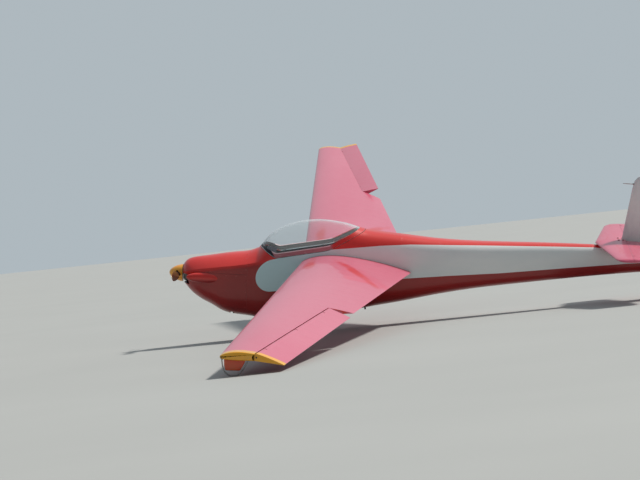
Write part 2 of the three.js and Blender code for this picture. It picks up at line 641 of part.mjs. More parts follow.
// Propeller: a wooden blade pair on its flange, under the spinner
function makePropeller() {
  const { radius, bossRadius, bossFront, bossBack, parkedAngle } = PROPELLER;
  // Blade sections: distance from the axis, chord, thickness, pitch in degrees
  const blade = [
    [30, 40, 34, 60],
    [90, 60, 28, 46],
    [180, 92, 20, 34],
    [320, 106, 14, 24],
    [460, 100, 10, 18],
    [570, 82, 8, 15],
    [620, 58, 6, 14],
    [radius, 22, 4, 13],
  ];
  const middle = (bossFront + bossBack) / 2;
  const bladeRing = ([distance, chord, thickness, pitch], side) => {
    const twist = pitch * DEGREE * side;
    return Array.from({ length: 12 }, (_, k) => {
      const angle = (2 * Math.PI * k) / 12;
      const along = (chord / 2) * Math.cos(angle);
      const out = (thickness / 2) * Math.sin(angle);
      return at(middle + along * Math.sin(twist) + out * Math.cos(twist), side * distance,
        along * Math.cos(twist) - out * Math.sin(twist));
    });
  };
  const blades = [-1, 1].map((side) => loft(blade.map((row) => bladeRing(row, side)), 'y'));
  const boss = rod(at(bossFront, 0, 0), at(bossBack, 0, 0), bossRadius, bossRadius, 24);
  const wooden = join(boss, ...blades);
  const group = turnedGroup(at(0, 0, 0), at(-1, 0, 0), parkedAngle);

  const { length, wall } = SPINNER;
  const outline = (inset) => [[0, 0], [22, 6], [45, 24], [64, 50], [80, 84], [92, 122], [98, length]]
    .map(([r, x]) => [Math.max(r - inset, 0), x + inset]);
  const shell = cut(
    turned([...outline(0), [0, length]], 'x', 24),
    turned([...outline(wall).slice(0, -1), [98 - wall, length + 5], [0, length + 5]], 'x', 24));
  const bladeRoom = box([middle - 34, -150, -34], [middle + 34, 150, 34]);
  place('spinner', cut(shell, bladeRoom), FINISH.yellow(), group);
  place('propeller_blades', wooden, FINISH.wood(), group);
  const flange = join(
    rod(at(bossBack + SEAT_GAP, 0, 0), at(bossBack + 16, 0, 0), 42, 42, 24),
    rod(at(length - 8, 0, 0), at(length - 2, 0, 0), SPINNER.radius - wall - 3.2, undefined, 24),
    rod(at(bossBack + 10, 0, 0), at(ENGINE.front - SEAT_GAP, 0, 0), 24, 24, 20));
  place('propeller_shaft', flange, FINISH.steel(), group);
}
makePropeller();

// Wings, with their tips, tip skids and ailerons. The skid's wooden block and steel hoop are
// given as [x, z] points, in the plane TIP_SKID_Y
const TIP_SKID_Y = 7102;
const TIP_BLOCK_OUTLINE = [
  [1276, 580], [1462, 580], [1462, 548], [1440, 500], [1415, 457], [1292, 455], [1280, 500],
];
const TIP_HOOP_LINE = [
  [1260, 570], [1261, 530], [1276, 455], [1314, 415], [1358, 408], [1399, 420], [1434, 458],
  [1470, 520], [1482, 572],
];
function makeWing(side) {
  const name = side < 0 ? 'left' : 'right';
  const tipInner = WING.halfSpan - WING.capLength;
  const starboard = (solid) => (side < 0 ? mirrored(solid) : solid);
  const whole = loft([150, WING.halfSpan].map((y) => foilRing(wingSection(y))), 'y');
  const ribY = AILERON.inner - AILERON.endGap;
  const cove = loft([ribY, WING.halfSpan + 60].map((y) => coveRing(wingSection(y))), 'y');
  const slantX = AILERON.innerHinge + 4;
  const slant = loft([-200, 1500].map((z) => [
    at(slantX, ribY, z), at(slantX + RIB_SLANT.length, ribY - RIB_SLANT.inward, z),
    at(slantX + RIB_SLANT.length, ribY + 20, z), at(slantX, ribY + 20, z),
  ]), 'z');
  const fixed = cut(whole, fuselageGrown, cove, slant);
  const wingPart = fixed.intersect(box([0, 0, -200], [4000, tipInner - SEAT_GAP, 1500]));
  const tipPart = fixed.intersect(box([0, tipInner, -200], [4000, WING.halfSpan + 1, 1500]));
  const aileron = loft([AILERON.inner, AILERON.outer].map((y) => movingRing(wingSection(y))), 'y');
  const [start, end] = [AILERON.inner, AILERON.outer].map((y) => hingeOf(wingSection(y)).centre);
  const reach = hingeOf(wingSection(AILERON.inner)).radius;
  const [wing, flap] = addHinges(wingPart, aileron, start, end, wingSection(0).chordDir,
    [0.1, 0.5, 0.9], reach);
  place(`wing_${name}`, starboard(wing), FINISH.fadedRed());
  place(`tip_cap_${name}`, starboard(tipPart), FINISH.yellow());

  const grown = loft([5000, WING.halfSpan + 5].map((y) => foilRing(wingSection(y), SEAT_GAP)), 'y');
  const block = sidePlate(TIP_BLOCK_OUTLINE, TIP_SKID_Y - 24, TIP_SKID_Y + 24);
  place(`tip_block_${name}`, starboard(cut(block, grown)), FINISH.orange());
  const hoop = bentBar(TIP_HOOP_LINE.map(([x, z]) => at(x, TIP_SKID_Y, z)), 5, 18);
  place(`tip_hoop_${name}`, starboard(cut(hoop, grown)), FINISH.steel());

  // Positive about the starboard-pointing hinge line puts the trailing edge down
  const flip = at(1, side, 1);
  const axis = end.clone().sub(start).multiply(flip).multiplyScalar(side);
  const angle = side < 0 ? AILERON_DOWN : -AILERON_UP;
  const group = turnedGroup(start.clone().multiply(flip), axis, angle);
  place(`aileron_${name}`, starboard(flap), FINISH.fadedRed(), group);
}
makeWing(-1);
makeWing(1);

// Tailplane and elevator
const { centre: tailHinge, radius: tailNose } = hingeOf(tailSection(ELEVATOR_INNER));
function makeTailplane() {
  const { halfSpan, hingeX } = TAIL;
  const ys = spans(TAIL_OUTLINE, 0, halfSpan);
  const everyY = [...ys.slice(1).reverse().map((y) => -y), ...ys];
  const form = (grow) => loft(everyY.map((y) => foilRing(tailSection(y), grow)), 'y');
  const room = loft([-halfSpan - 40, -1150, 0, 1150, halfSpan + 40].map((y) =>
    coveRing(tailSection(Math.sign(y) * Math.min(Math.abs(y), 1150)))
      .map((point) => at(point.x, y, point.z))), 'y');
  const elevatorYs = spans(TAIL_OUTLINE, ELEVATOR_INNER, halfSpan);
  const half = loft(elevatorYs.map((y) => movingRing(tailSection(y))), 'y');
  const tubeHalf = ELEVATOR_INNER + 5;
  const tube = rod(at(hingeX, -tubeHalf, tailHinge.z), at(hingeX, tubeHalf, tailHinge.z), 13);
  const elevator = join(half, mirrored(half), tube);
  const [start, end] = [-1080, 1080].map((y) => at(hingeX, y, tailHinge.z));
  const [fixed, moving] = addHinges(cut(form(0), room), elevator, start, end, at(1, 0, 0),
    [0, 0.38, 0.62, 1], tailNose);
  const seat = fuselageForm(4600, STERN, -SEAT_GAP);
  place('tailplane', cut(fixed, seat), FINISH.fadedRed());
  place('elevator', cut(moving, box([hingeX, -90, 300], [5600, 90, 900])).add(tube), FINISH.fadedRed());
  return cut(form(SEAT_GAP), box([hingeX - 15, -300, 300], [hingeX + 400, 300, 900]));
}
const tailplaneGrown = makeTailplane();

// Fin, rudder and tail boom
function makeFin() {
  const { hingeX, baseZ, topZ } = FIN;
  const fin = loft(spans(FIN_OUTLINE, baseZ, topZ).map((z) => foilRing(finSection(z))), 'z');
  const coveZs = [RUDDER_BOTTOM - 60, ...spans(FIN_OUTLINE, RUDDER_BOTTOM, topZ), topZ + 40];
  const cove = loft(coveZs.map((z) =>
    coveRing(finSection(Math.min(Math.max(z, RUDDER_BOTTOM), 1150)))
      .map((point) => at(point.x, point.y, z))), 'z');
  const underTail = box([4900, -60, 300], [TAIL.hingeX, 60, tailHinge.z]);
  const tubeRoom = box([TAIL.hingeX - 24, -60, 300], [TAIL.hingeX + 26, 60, tailHinge.z + 24]);
  const rudder = loft(spans(FIN_OUTLINE, RUDDER_BOTTOM, topZ).map((z) => movingRing(finSection(z))), 'z');
  const [start, end] = [at(hingeX, 0, 1100), at(hingeX, 0, 640)];
  const reach = hingeOf(finSection(700)).radius;
  const body = cut(fin, fuselageGrown, tailplaneGrown, underTail, tubeRoom, cove);
  const [finSolid, swung] = addHinges(body, rudder, start, end, at(1, 0, 0), [0, 1], reach);
  const boom = cut(fuselageForm(CABIN_BACK, STERN), cove);
  const [boomSolid, rudderSolid] = addHinges(boom, swung, at(hingeX, 0, 340), at(hingeX, 0, 330),
    at(1, 0, 0), [0], reach);
  place('fin', finSolid, FINISH.white());
  place('rudder', rudderSolid, FINISH.white());
  place('fuselage_boom', boomSolid, FINISH.red());
  const noseOnFin = rowAt(FIN_OUTLINE, 1200)[1];
  const pitot = rod(at(noseOnFin - 118, 0, 1203), at(noseOnFin + 6, 0, 1200), 5, 5, 12);
  const finNose = loft([1150, 1235].map((z) => foilRing(finSection(z), SEAT_GAP)), 'z');
  place('pitot_rod', cut(pitot, finNose), FINISH.steel());
}
makeFin();

// Wheels: a tyre and a hub, on an axle with flat ends
const TYRE_SIDES = 32;
const HUB_SIDES = 20;
function makeWheel({ x, z, radius, width, rimRadius, axleRadius }, names, parent) {
  const half = width / 2;
  const shoulder = radius * 0.93;
  const tyre = [
    [rimRadius, -half * 0.62], [rimRadius + 12, -half * 0.86], [(rimRadius + radius) / 2, -half],
    [shoulder, -half * 0.78], [radius * 0.985, -half * 0.42], [radius, 0], [radius * 0.985, half * 0.42],
    [shoulder, half * 0.78], [(rimRadius + radius) / 2, half], [rimRadius + 12, half * 0.86],
    [rimRadius, half * 0.62], [rimRadius, -half * 0.62],
  ];
  const rim = rimRadius * Math.cos(Math.PI / TYRE_SIDES) - SEAT_GAP;
  const bore = axleRadius + 0.4;
  const hub = [
    [bore, -half * 0.7], [bore + 12, -half * 0.7], [bore + 14, -half * 0.35], [rim - 10, -half * 0.35],
    [rim - 4, -half * 0.6], [rim, -half * 0.6], [rim, half * 0.6], [rim - 4, half * 0.6],
    [rim - 10, half * 0.35], [bore + 14, half * 0.35], [bore + 12, half * 0.7], [bore, half * 0.7],
    [bore, -half * 0.7],
  ];
  place(names.tyre, turned(tyre, 'y', TYRE_SIDES).translate([x, 0, z]), FINISH.rubber(), parent);
  place(names.hub, turned(hub, 'y', HUB_SIDES).translate([x, 0, z]), FINISH.castAlloy(), parent);
}

function makeMainWheel() {
  const { x, z, axleRadius } = MAIN_WHEEL;
  makeWheel(MAIN_WHEEL, { tyre: 'main_tyre', hub: 'main_hub' }, airframe);
  const { inner, outer, topHalf, footHalf } = MAIN_FORK;
  const roof = WELL.roof - SEAT_GAP;
  const outline = [[x - topHalf, roof], [x - footHalf, z - 26], [x + footHalf, z - 26], [x + topHalf, roof]];
  const plates = [sidePlate(outline, -outer, -inner), sidePlate(outline, inner, outer)];
  const bridge = box([x - topHalf, -outer, roof - 8], [x + topHalf, outer, roof]);
  const hole = rod(at(x, -100, z), at(x, 100, z), axleRadius + SEAT_GAP, undefined, 24);
  place('main_fork', cut(join(bridge, ...plates), hole), FINISH.darkSteel());
  const nut = (low, high) => rod(at(x, low, z), at(x, high, z), 15, 15, 6);
  place('main_axle', join(
    rod(at(x, -outer - 6, z), at(x, outer + 6, z), axleRadius, undefined, 24),
    nut(-outer - 9, -outer - SEAT_GAP), nut(outer + SEAT_GAP, outer + 9)), FINISH.steel());
}
makeMainWheel();

function makeTailWheel() {
  const { x, z, axleRadius, kingpinX } = TAIL_WHEEL;
  makeWheel(TAIL_WHEEL, { tyre: 'tail_tyre', hub: 'tail_hub' }, airframe);
  const bellyZ = rowAt(FUSELAGE, kingpinX)[3];
  const { inner, outer, crownZ, kingpinRadius } = TAIL_FORK;
  const bracket = loft([
    [bellyZ + 30, 150, 34], [bellyZ - 12, 120, 30], [crownZ, 78, 26],
  ].map(([height, half, wide]) => Array.from({ length: 16 }, (_, k) => {
    const angle = (2 * Math.PI * k) / 16;
    return at(kingpinX - 20 + half * Math.cos(angle), wide * Math.sin(angle), height);
  })), 'z');
  const socket = rod(at(kingpinX, 0, crownZ - 10), at(kingpinX, 0, crownZ + 45), kingpinRadius + 0.4,
    undefined, 24);
  const boomGrown = fuselageForm(CABIN_BACK, STERN, -SEAT_GAP);
  place('tail_bracket', cut(bracket, boomGrown, socket), FINISH.darkSteel());
  const crown = crownZ - SEAT_GAP;
  const arm = (low, high) => sidePlate(
    [[kingpinX - 24, crown], [kingpinX - 24, crown - 22], [x - 22, z - 12], [x + 14, z - 12],
      [x + 20, z + 10], [kingpinX + 30, crown - 4], [kingpinX + 30, crown]], low, high);
  const hole = rod(at(x, -60, z), at(x, 60, z), axleRadius + SEAT_GAP, undefined, 20);
  const fork = join(
    arm(-outer, -inner), arm(inner, outer),
    box([kingpinX - 24, -outer, crown - 10], [kingpinX + 30, outer, crown]),
    rod(at(kingpinX, 0, crown - 2), at(kingpinX, 0, crown + 40), kingpinRadius, undefined, 24));
  place('tail_fork', cut(fork, hole), FINISH.darkSteel());
  const nut = (low, high) => rod(at(x, low, z), at(x, high, z), 10, 10, 6);
  place('tail_axle', join(
    rod(at(x, -outer - 4, z), at(x, outer + 4, z), axleRadius, undefined, 20),
    nut(-outer - 7, -outer - SEAT_GAP), nut(outer + SEAT_GAP, outer + 7)), FINISH.steel());
}
makeTailWheel();

// Drain stub under the cabin's rear end
const stubX = 2190;
const stubZ = rowAt(FUSELAGE, stubX)[3];
place('belly_stub', cut(
  rod(at(stubX, 0, stubZ + 30), at(stubX + 12, 0, stubZ - 28), 12, 9, 14),
  fuselageForm(COWL.back, CABIN_BACK, -SEAT_GAP)), FINISH.darkSteel());

// Stand the aircraft on the three things that touch the ground: a plane is laid under their lowest
// points, again and again until it stays, and the aircraft is turned by the least angle that levels it.
const piece = (name) => airframe.getObjectByName(name).geometry.getAttribute('position');
function lowestPoint(positions, up) {
  let lowest = new THREE.Vector3();
  let depth = Infinity;
  for (let i = 0; i < positions.count; i++) {
    const point = new THREE.Vector3().fromBufferAttribute(positions, i);
    if (point.dot(up) < depth) [lowest, depth] = [point, point.dot(up)];
  }
  return lowest;
}
let up = new THREE.Vector3(0, 0, 1);
const FEET = ['main_tyre', 'tail_tyre', 'tip_hoop_left'].map(piece);
for (let round = 0; round < 20; round++) {
  const [front, rear, side] = FEET.map((positions) => lowestPoint(positions, up));
  up = rear.sub(front).cross(side.sub(front)).normalize();
  if (up.z < 0) up.negate();
}
airframe.quaternion.setFromUnitVectors(up, new THREE.Vector3(0, 0, 1));

const group = new THREE.Group();
group.add(airframe);
group.updateMatrixWorld(true);
const bounds = new THREE.Box3().setFromObject(group, true);
const centre = bounds.getCenter(new THREE.Vector3());
airframe.position.set(-centre.x, -centre.y, -bounds.min.z);

export default group;
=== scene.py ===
import json
from dataclasses import dataclass, replace
from math import asin, atan2, copysign, cos, pi, radians, sin, sqrt, tan

import bmesh
import bpy
from mathutils import Matrix, Vector


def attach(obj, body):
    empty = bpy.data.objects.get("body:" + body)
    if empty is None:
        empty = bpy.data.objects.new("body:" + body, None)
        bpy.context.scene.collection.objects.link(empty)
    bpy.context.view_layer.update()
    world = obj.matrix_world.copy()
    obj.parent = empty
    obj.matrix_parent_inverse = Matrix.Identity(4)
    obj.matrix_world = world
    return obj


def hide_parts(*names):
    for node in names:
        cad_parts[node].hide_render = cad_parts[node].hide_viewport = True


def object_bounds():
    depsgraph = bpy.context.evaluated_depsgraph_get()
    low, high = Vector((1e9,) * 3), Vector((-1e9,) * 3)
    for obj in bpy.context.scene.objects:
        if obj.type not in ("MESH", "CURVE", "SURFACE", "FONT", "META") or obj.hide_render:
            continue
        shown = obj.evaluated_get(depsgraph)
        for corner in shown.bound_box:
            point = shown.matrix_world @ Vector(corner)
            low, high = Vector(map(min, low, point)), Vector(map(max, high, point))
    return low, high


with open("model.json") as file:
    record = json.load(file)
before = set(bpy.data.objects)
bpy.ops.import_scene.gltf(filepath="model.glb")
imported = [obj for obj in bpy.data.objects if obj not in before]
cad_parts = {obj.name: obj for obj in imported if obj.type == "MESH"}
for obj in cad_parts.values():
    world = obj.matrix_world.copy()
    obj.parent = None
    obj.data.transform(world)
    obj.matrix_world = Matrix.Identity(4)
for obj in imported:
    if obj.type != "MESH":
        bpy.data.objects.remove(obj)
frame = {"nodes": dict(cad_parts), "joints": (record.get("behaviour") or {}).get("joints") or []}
cad_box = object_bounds()
scene = bpy.context.scene

# Body axes, from the frame's joints
joints = {joint["name"]: joint for joint in frame["joints"]}
NOSE_TIP = Vector(joints["propeller_spin"]["pos_m"])
AFT = -Vector(joints["propeller_spin"]["axis"])
UP = Vector(joints["rudder_swing"]["axis"])
STARBOARD = UP.cross(AFT)
BODY = Matrix((AFT, STARBOARD, UP)).transposed().to_4x4()
BODY.translation = NOSE_TIP
TO_BODY = BODY.inverted()


def turn_about(point, axis, angle):
    return Matrix.Translation(point) @ Matrix.Rotation(angle, 4, axis) @ Matrix.Translation(-point)


# Driving dimensions
COWL_FRONT, COWL_BACK, COWL_SPLIT, COWL_WALL = 0.165, 0.8947, 0.055, 0.005
COWL_SPLIT_GAP = 0.0003
INTAKE = {"front": 0.100, "back": 0.240, "half_width": 0.172, "low": -0.100, "high": 0.014}
OUTLET = {"front": 0.700, "back": 0.752, "half_width": 0.150, "low": -0.600, "high": -0.300}
CHEEK = {"x": 0.415, "y": 0.236, "z": -0.006, "half_length": 0.200, "half_width": 0.048,
         "half_height": 0.058}
CABIN_FRONT, CABIN_BACK, STERN, CABIN_WALL = 0.8953, 2.250, 5.575, 0.024
# The line where the canopy meets the cabin: x, z, and how high the canopy's frame stands on it
CANOPY_LINE = [(0.960, 0.352, 0.018), (1.050, 0.345, 0.028), (1.185, 0.262, 0.055), (1.215, 0.258, 0.052),
               (1.800, 0.368, 0.050), (2.215, 0.604, 0.050)]
CANOPY_GAP, FRAME_WALL, GLASS_WALL = 0.006, 0.016, 0.004
PROPELLER_PARKED = radians(4)
AILERON_UP, AILERON_DOWN = radians(30), radians(7)
HALF_SPAN, CAP_INNER, AILERON_INNER, AILERON_OUTER = 7.150, 7.080, 4.050, 7.148
AILERON_END_GAP, AILERON_TIP_ROOM = 0.010, 0.006
HORN_SPAN, SKID_SPAN = 5.60, 7.102
RUDDER_HINGE_ZS = (0.340, 0.640, 1.100)
ELEVATOR_HINGE_YS = (0.259, 1.080)
WHEEL_WELL = {"front": 1.235, "back": 1.665, "half_width": 0.088, "roof": -0.250}
FLOOR_Z, LEG_FLOOR_Z = -0.226, -0.325
# The wing's leading edge starts on the middle plane and runs forward and up with the span
WING_LEAD = {"x": 1.492, "forward": 0.0349, "z": 0.185, "rise": 0.054}
TAIL_RIB_PITCH = 0.21
TAIL_STATION_PITCH = TAIL_RIB_PITCH / 4
CUSHION_CHANNEL = 0.075

# Fuselage sections: station x, half width, top z, bottom z, z of the widest point,
# and how square the upper and the lower half are (2 is an ellipse)
FUSELAGE = [
    (0.165, 0.105, 0.110, -0.095, 0.008, 2.1, 2.1),
    (0.190, 0.145, 0.142, -0.118, 0.008, 2.2, 2.1),
    (0.230, 0.180, 0.168, -0.165, 0.005, 2.4, 2.2),
    (0.290, 0.208, 0.186, -0.222, 0.000, 2.6, 2.2),
    (0.380, 0.235, 0.202, -0.280, -0.005, 2.8, 2.3),
    (0.490, 0.257, 0.221, -0.332, -0.005, 3.1, 2.4),
    (0.600, 0.272, 0.241, -0.392, 0.000, 3.3, 2.5),
    (0.700, 0.281, 0.257, -0.422, 0.005, 3.5, 2.6),
    (0.895, 0.291, 0.284, -0.442, 0.010, 3.4, 2.6),
    (0.975, 0.2947, 0.316, -0.452, 0.014, 3.2, 2.6),
    (1.000, 0.296, 0.328, -0.456, 0.015, 3.1, 2.6),
    (1.110, 0.299, 0.474, -0.464, 0.025, 2.8, 2.6),
    (1.280, 0.302, 0.580, -0.467, 0.040, 2.5, 2.6),
    (1.440, 0.303, 0.636, -0.462, 0.050, 2.4, 2.6),
    (1.560, 0.303, 0.656, -0.449, 0.055, 2.4, 2.6),
    (1.710, 0.303, 0.664, -0.420, 0.060, 2.4, 2.6),
    (1.940, 0.300, 0.638, -0.357, 0.075, 2.5, 2.6),
    (2.170, 0.288, 0.576, -0.303, 0.095, 2.8, 2.6),
    (2.330, 0.276, 0.557, -0.266, 0.110, 2.9, 2.6),
    (2.600, 0.257, 0.535, -0.206, 0.130, 3.0, 2.7),
    (3.000, 0.228, 0.503, -0.109, 0.160, 3.0, 2.7),
    (3.443, 0.203, 0.494, -0.020, 0.195, 3.0, 2.7),
    (4.200, 0.160, 0.507, 0.095, 0.265, 2.9, 2.7),
    (4.700, 0.128, 0.510, 0.165, 0.310, 2.8, 2.6),
    (5.200, 0.098, 0.504, 0.226, 0.345, 2.7, 2.5),
    (5.600, 0.066, 0.494, 0.268, 0.370, 2.5, 2.4),
]
FUSELAGE_SIDES, COWL_SIDES = 96, 160

# The nose's top is a low arch over an edge on each flank: station x, z of that edge, and
# how far the section has turned from its plain curve into the arch
DECK_EDGE = [
    (0.165, 0.044, 0.0), (0.190, 0.050, 0.3), (0.230, 0.060, 0.7), (0.290, 0.072, 1.0), (0.380, 0.090, 1.0),
    (0.490, 0.108, 1.0), (0.600, 0.127, 1.0), (0.700, 0.142, 1.0), (0.895, 0.173, 1.0), (1.000, 0.198, 1.0),
    (1.110, 0.232, 0.35), (1.280, 0.336, 0.0),
]
EDGE_TURN = 5 / 16      # the edge's place between the widest point and the top

# Tailplane outline: y, leading edge x, trailing edge x
TAIL_OUTLINE = [
    (0.000, 4.712, 5.405), (1.150, 4.872, 5.350), (1.215, 4.898, 5.328),
    (1.245, 4.925, 5.300), (1.260, 4.965, 5.255),
]
# Fin and rudder outline: z, leading edge x, trailing edge x
FIN_OUTLINE = [
    (0.272, 4.950, 6.330), (0.315, 4.957, 6.455), (0.400, 4.970, 6.540), (0.520, 4.989, 6.575),
    (1.150, 5.087, 6.170), (1.235, 5.108, 6.095), (1.280, 5.145, 6.020), (1.302, 5.215, 5.930),
]
TAIL_HINGE_X, TAIL_Z, ELEVATOR_INNER, RUDDER_HINGE_X = 5.060, 0.548, 0.118, 5.620
WING_INCIDENCE, TAIL_INCIDENCE = radians(2), radians(-2.5)
TAIL_TIP_ROUNDING, CAP_ROUNDING = 0.03, 0.022


# Numbers and points
def mix(low, high, share):
    return low + (high - low) * share


def smooth_share(share):
    share = min(max(share, 0.0), 1.0)
    return share * share * (3 - 2 * share)


def spaced(low, high, step):
    """Evenly spaced values from low to high, at most a step apart."""
    count = max(1, round((high - low) / step))
    return [mix(low, high, k / count) for k in range(count + 1)]


def row_above(table, key):
    """The place of the row that ends the table's step with a key in it."""
    return max(next((i for i, row in enumerate(table) if row[0] >= key), len(table) - 1), 1)


def straight_row(table, key):
    """A table's row at a key in its first column."""
    upper = row_above(table, key)
    low, high = table[upper - 1], table[upper]
    share = (key - low[0]) / (high[0] - low[0])
    return [mix(a, b, share) for a, b in zip(low, high)]


def smooth_row(table, key):
    """The same, on a smooth curve through the table's rows."""
    upper = row_above(table, key)
    before, low, high = table[max(upper - 2, 0)], table[upper - 1], table[upper]
    after = table[min(upper + 1, len(table) - 1)]
    width = high[0] - low[0]
    t = (key - low[0]) / width
    row = []
    for a, b, c, d in zip(before, low, high, after):
        enter = (c - a) / (high[0] - before[0]) * width
        leave = (d - b) / (after[0] - low[0]) * width
        value = (2 * t**3 - 3 * t**2 + 1) * b + (t**3 - 2 * t**2 + t) * enter
        row.append(value + (3 * t**2 - 2 * t**3) * c + (t**3 - t**2) * leave)
    return row


def curve_through(points, steps):
    """A smooth path through points, with a number of steps from each to the next."""
    table = [(float(i), *Vector(point)) for i, point in enumerate(points)]
    count = (len(points) - 1) * steps
    return [Vector(smooth_row(table, k / steps)[1:]) for k in range(count + 1)]


def rounded_line(corners, radius, steps):
    """A line with its inner corners rounded off."""
    line = [Vector(corner) for corner in corners]
    path = [line[0]]
    for before, corner, after in zip(line, line[1:], line[2:]):
        reach = min(radius, 0.45 * (before - corner).length, 0.45 * (after - corner).length)
        start = corner + (before - corner).normalized() * reach
        end = corner + (after - corner).normalized() * reach
        for k in range(steps + 1):
            t = k / steps
            path.append((1 - t) ** 2 * start + 2 * t * (1 - t) * corner + t * t * end)
    return path + [line[-1]]


# Mesh tools
X_WAY, Y_WAY, Z_WAY = Vector((1, 0, 0)), Vector((0, 1, 0)), Vector((0, 0, 1))


def verts_in(geometry):
    return [item for item in geometry if isinstance(item, bmesh.types.BMVert)]


def circle(sides, start=0.0):
    """Angles round a circle; start is a share of a step."""
    return [2 * pi * (k + start) / sides for k in range(sides)]


def loft(bm, rings, first_cap=True, last_cap=True, closed=True):
    """A skin through rings of equal counts, drawn once and then extruded from ring to ring."""
    def sides(verts):
        pairs = list(zip(verts, verts[1:]))
        return pairs + [(verts[-1], verts[0])] if closed else pairs

    verts = [bm.verts.new(point) for point in rings[0]]
    edges = [bm.edges.new(pair) for pair in sides(verts)]
    faces = [bm.faces.new(verts)] if first_cap else []
    for ring in rings[1:]:
        made = bmesh.ops.extrude_edge_only(bm, edges=edges)["geom"]
        fresh = set(verts_in(made))
        faces += [item for item in made if isinstance(item, bmesh.types.BMFace)]
        verts = [next(e.other_vert(v) for e in v.link_edges if e.other_vert(v) in fresh) for v in verts]
        for vert, point in zip(verts, ring):
            vert.co = point
        edges = [bm.edges.get(pair) for pair in sides(verts)]
    if last_cap:
        faces.append(bm.faces.new(verts))
    bmesh.ops.recalc_face_normals(bm, faces=faces)
    return faces


def path_ways(points):
    """The way that a path runs at each of its points."""
    ways = [(b - a).normalized() for a, b in zip(points, points[1:])]
    return [ways[0]] + [(a + b).normalized() for a, b in zip(ways, ways[1:])] + [ways[-1]]


def sweep(bm, path, radius, sides=12, end_radius=None):
    """A round bar along a path; the radius may change evenly to another at its end."""
    end_radius = radius if end_radius is None else end_radius
    tangents = path_ways(path)
    side = tangents[0].orthogonal().normalized()
    rings = []
    for k, (point, tangent) in enumerate(zip(path, tangents)):
        side = (side - tangent * side.dot(tangent)).normalized()
        over = tangent.cross(side)
        r = mix(radius, end_radius, k / (len(path) - 1))
        rings.append([point + r * (cos(a) * side + sin(a) * over) for a in circle(sides)])
    return loft(bm, rings)


def rod(bm, start, end, radius, end_radius=None, sides=24):
    return sweep(bm, [Vector(start), Vector(end)], radius, sides, end_radius)


def turned(bm, profile, centre, axis, steps=64, closed=False):
    """A turned shape: (radius, distance along the axis) pairs spun about a line."""
    axis = Vector(axis).normalized()
    out = axis.orthogonal().normalized()
    verts = [bm.verts.new(Vector(centre) + out * max(r, 1e-6) + axis * d) for r, d in profile]
    edges = [bm.edges.new(pair) for pair in zip(verts, verts[1:])]
    if closed:
        edges.append(bm.edges.new((verts[-1], verts[0])))
    bmesh.ops.spin(bm, geom=verts + edges, cent=centre, axis=axis, angle=2 * pi, steps=steps, use_merge=True)
    bmesh.ops.remove_doubles(bm, verts=bm.verts, dist=1e-5)
    bmesh.ops.recalc_face_normals(bm, faces=bm.faces)


def round_edges(bm, edges, radius, segments):
    bmesh.ops.bevel(bm, geom=list(edges), offset=radius, offset_type="OFFSET", segments=segments,
                    profile=0.5, affect="EDGES", material=-1, clamp_overlap=True)


def round_rims(bm, faces, radius, segments):
    """Rounds the edges of a plate's two broad faces."""
    rims = {edge for face in faces if len(face.verts) > 4 for edge in face.edges}
    round_edges(bm, rims, radius, segments)


def block(bm, low, high, rounding, segments=2):
    """A box from its lowest to its highest corner, with rounded edges."""
    low, high = Vector(low), Vector(high)
    made = bmesh.ops.create_cube(bm, size=1.0)["verts"]
    for vert in made:
        vert.co = Vector(mix(low[i], high[i], vert.co[i] + 0.5) for i in range(3))
    round_edges(bm, {edge for vert in made for edge in vert.link_edges}, rounding, segments)


def plate(bm, outline, axis, thickness):
    """A flat plate: its outline is drawn, filled and pushed along an axis by its thickness."""
    face = bm.faces.new([bm.verts.new(point) for point in outline])
    verts = verts_in(bmesh.ops.extrude_face_region(bm, geom=[face])["geom"])
    bmesh.ops.translate(bm, verts=verts, vec=Vector(axis) * thickness)
    faces = list({near for vert in verts for near in vert.link_faces} | {face})
    bmesh.ops.recalc_face_normals(bm, faces=faces)
    return faces


def add_wall(bm, wall):
    bmesh.ops.solidify(bm, geom=bm.faces[:] + bm.edges[:] + bm.verts[:], thickness=wall)


def thicken(bm, wall):
    """Gives an open skin a wall on its inner side."""
    bmesh.ops.recalc_face_normals(bm, faces=bm.faces)
    add_wall(bm, wall)


HOLE_ROOM = 0.08        # faces this near to a hole are cut along its sides' planes


def score(bm, point, normal, faces=None):
    """Cuts edges along a plane, and takes nothing away."""
    faces = bm.faces[:] if faces is None else faces
    edges = list({edge for face in faces for edge in face.edges})
    verts = list({vert for face in faces for vert in face.verts})
    bmesh.ops.bisect_plane(bm, geom=verts + edges + faces, plane_co=point, plane_no=normal, dist=1e-6)


def remove_faces(bm, chosen):
    """Takes away the faces whose middle the given test picks."""
    picked = [face for face in bm.faces if chosen(face.calc_center_median())]
    bmesh.ops.delete(bm, geom=picked, context="FACES")


def cut_hole(bm, low, high):
    """Takes away an open skin's faces inside a box, cut clean at the box's sides."""
    def inside(point, room=0.0):
        return all(low[i] - room < point[i] < high[i] + room for i in range(3))

    low, high = Vector(low), Vector(high)
    for axis in (X_WAY, Y_WAY, Z_WAY):
        for corner in (low, high):
            near = [face for face in bm.faces if inside(face.calc_center_median(), HOLE_ROOM)]
            score(bm, corner, axis, near)
    remove_faces(bm, inside)


SHARP_FROM = radians(35)


def finish_piece(bm, name, materials, slot, *nodes, body="airframe", transform=None):
    """Makes a shape drawn in body axes into a piece that stands in the frame and rides on a body."""
    bmesh.ops.transform(bm, matrix=BODY @ transform if transform else BODY, verts=bm.verts)
    mesh = bpy.data.meshes.new(name)
    bm.to_mesh(mesh)
    bm.free()
    for material in materials if isinstance(materials, list) else [materials]:
        mesh.materials.append(material)
    mesh.shade_smooth()
    mesh.set_sharp_from_angle(angle=SHARP_FROM)
    piece = bpy.data.objects.new(name, mesh)
    scene.collection.objects.link(piece)
    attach(piece, body)
    if nodes:
        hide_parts(*nodes)


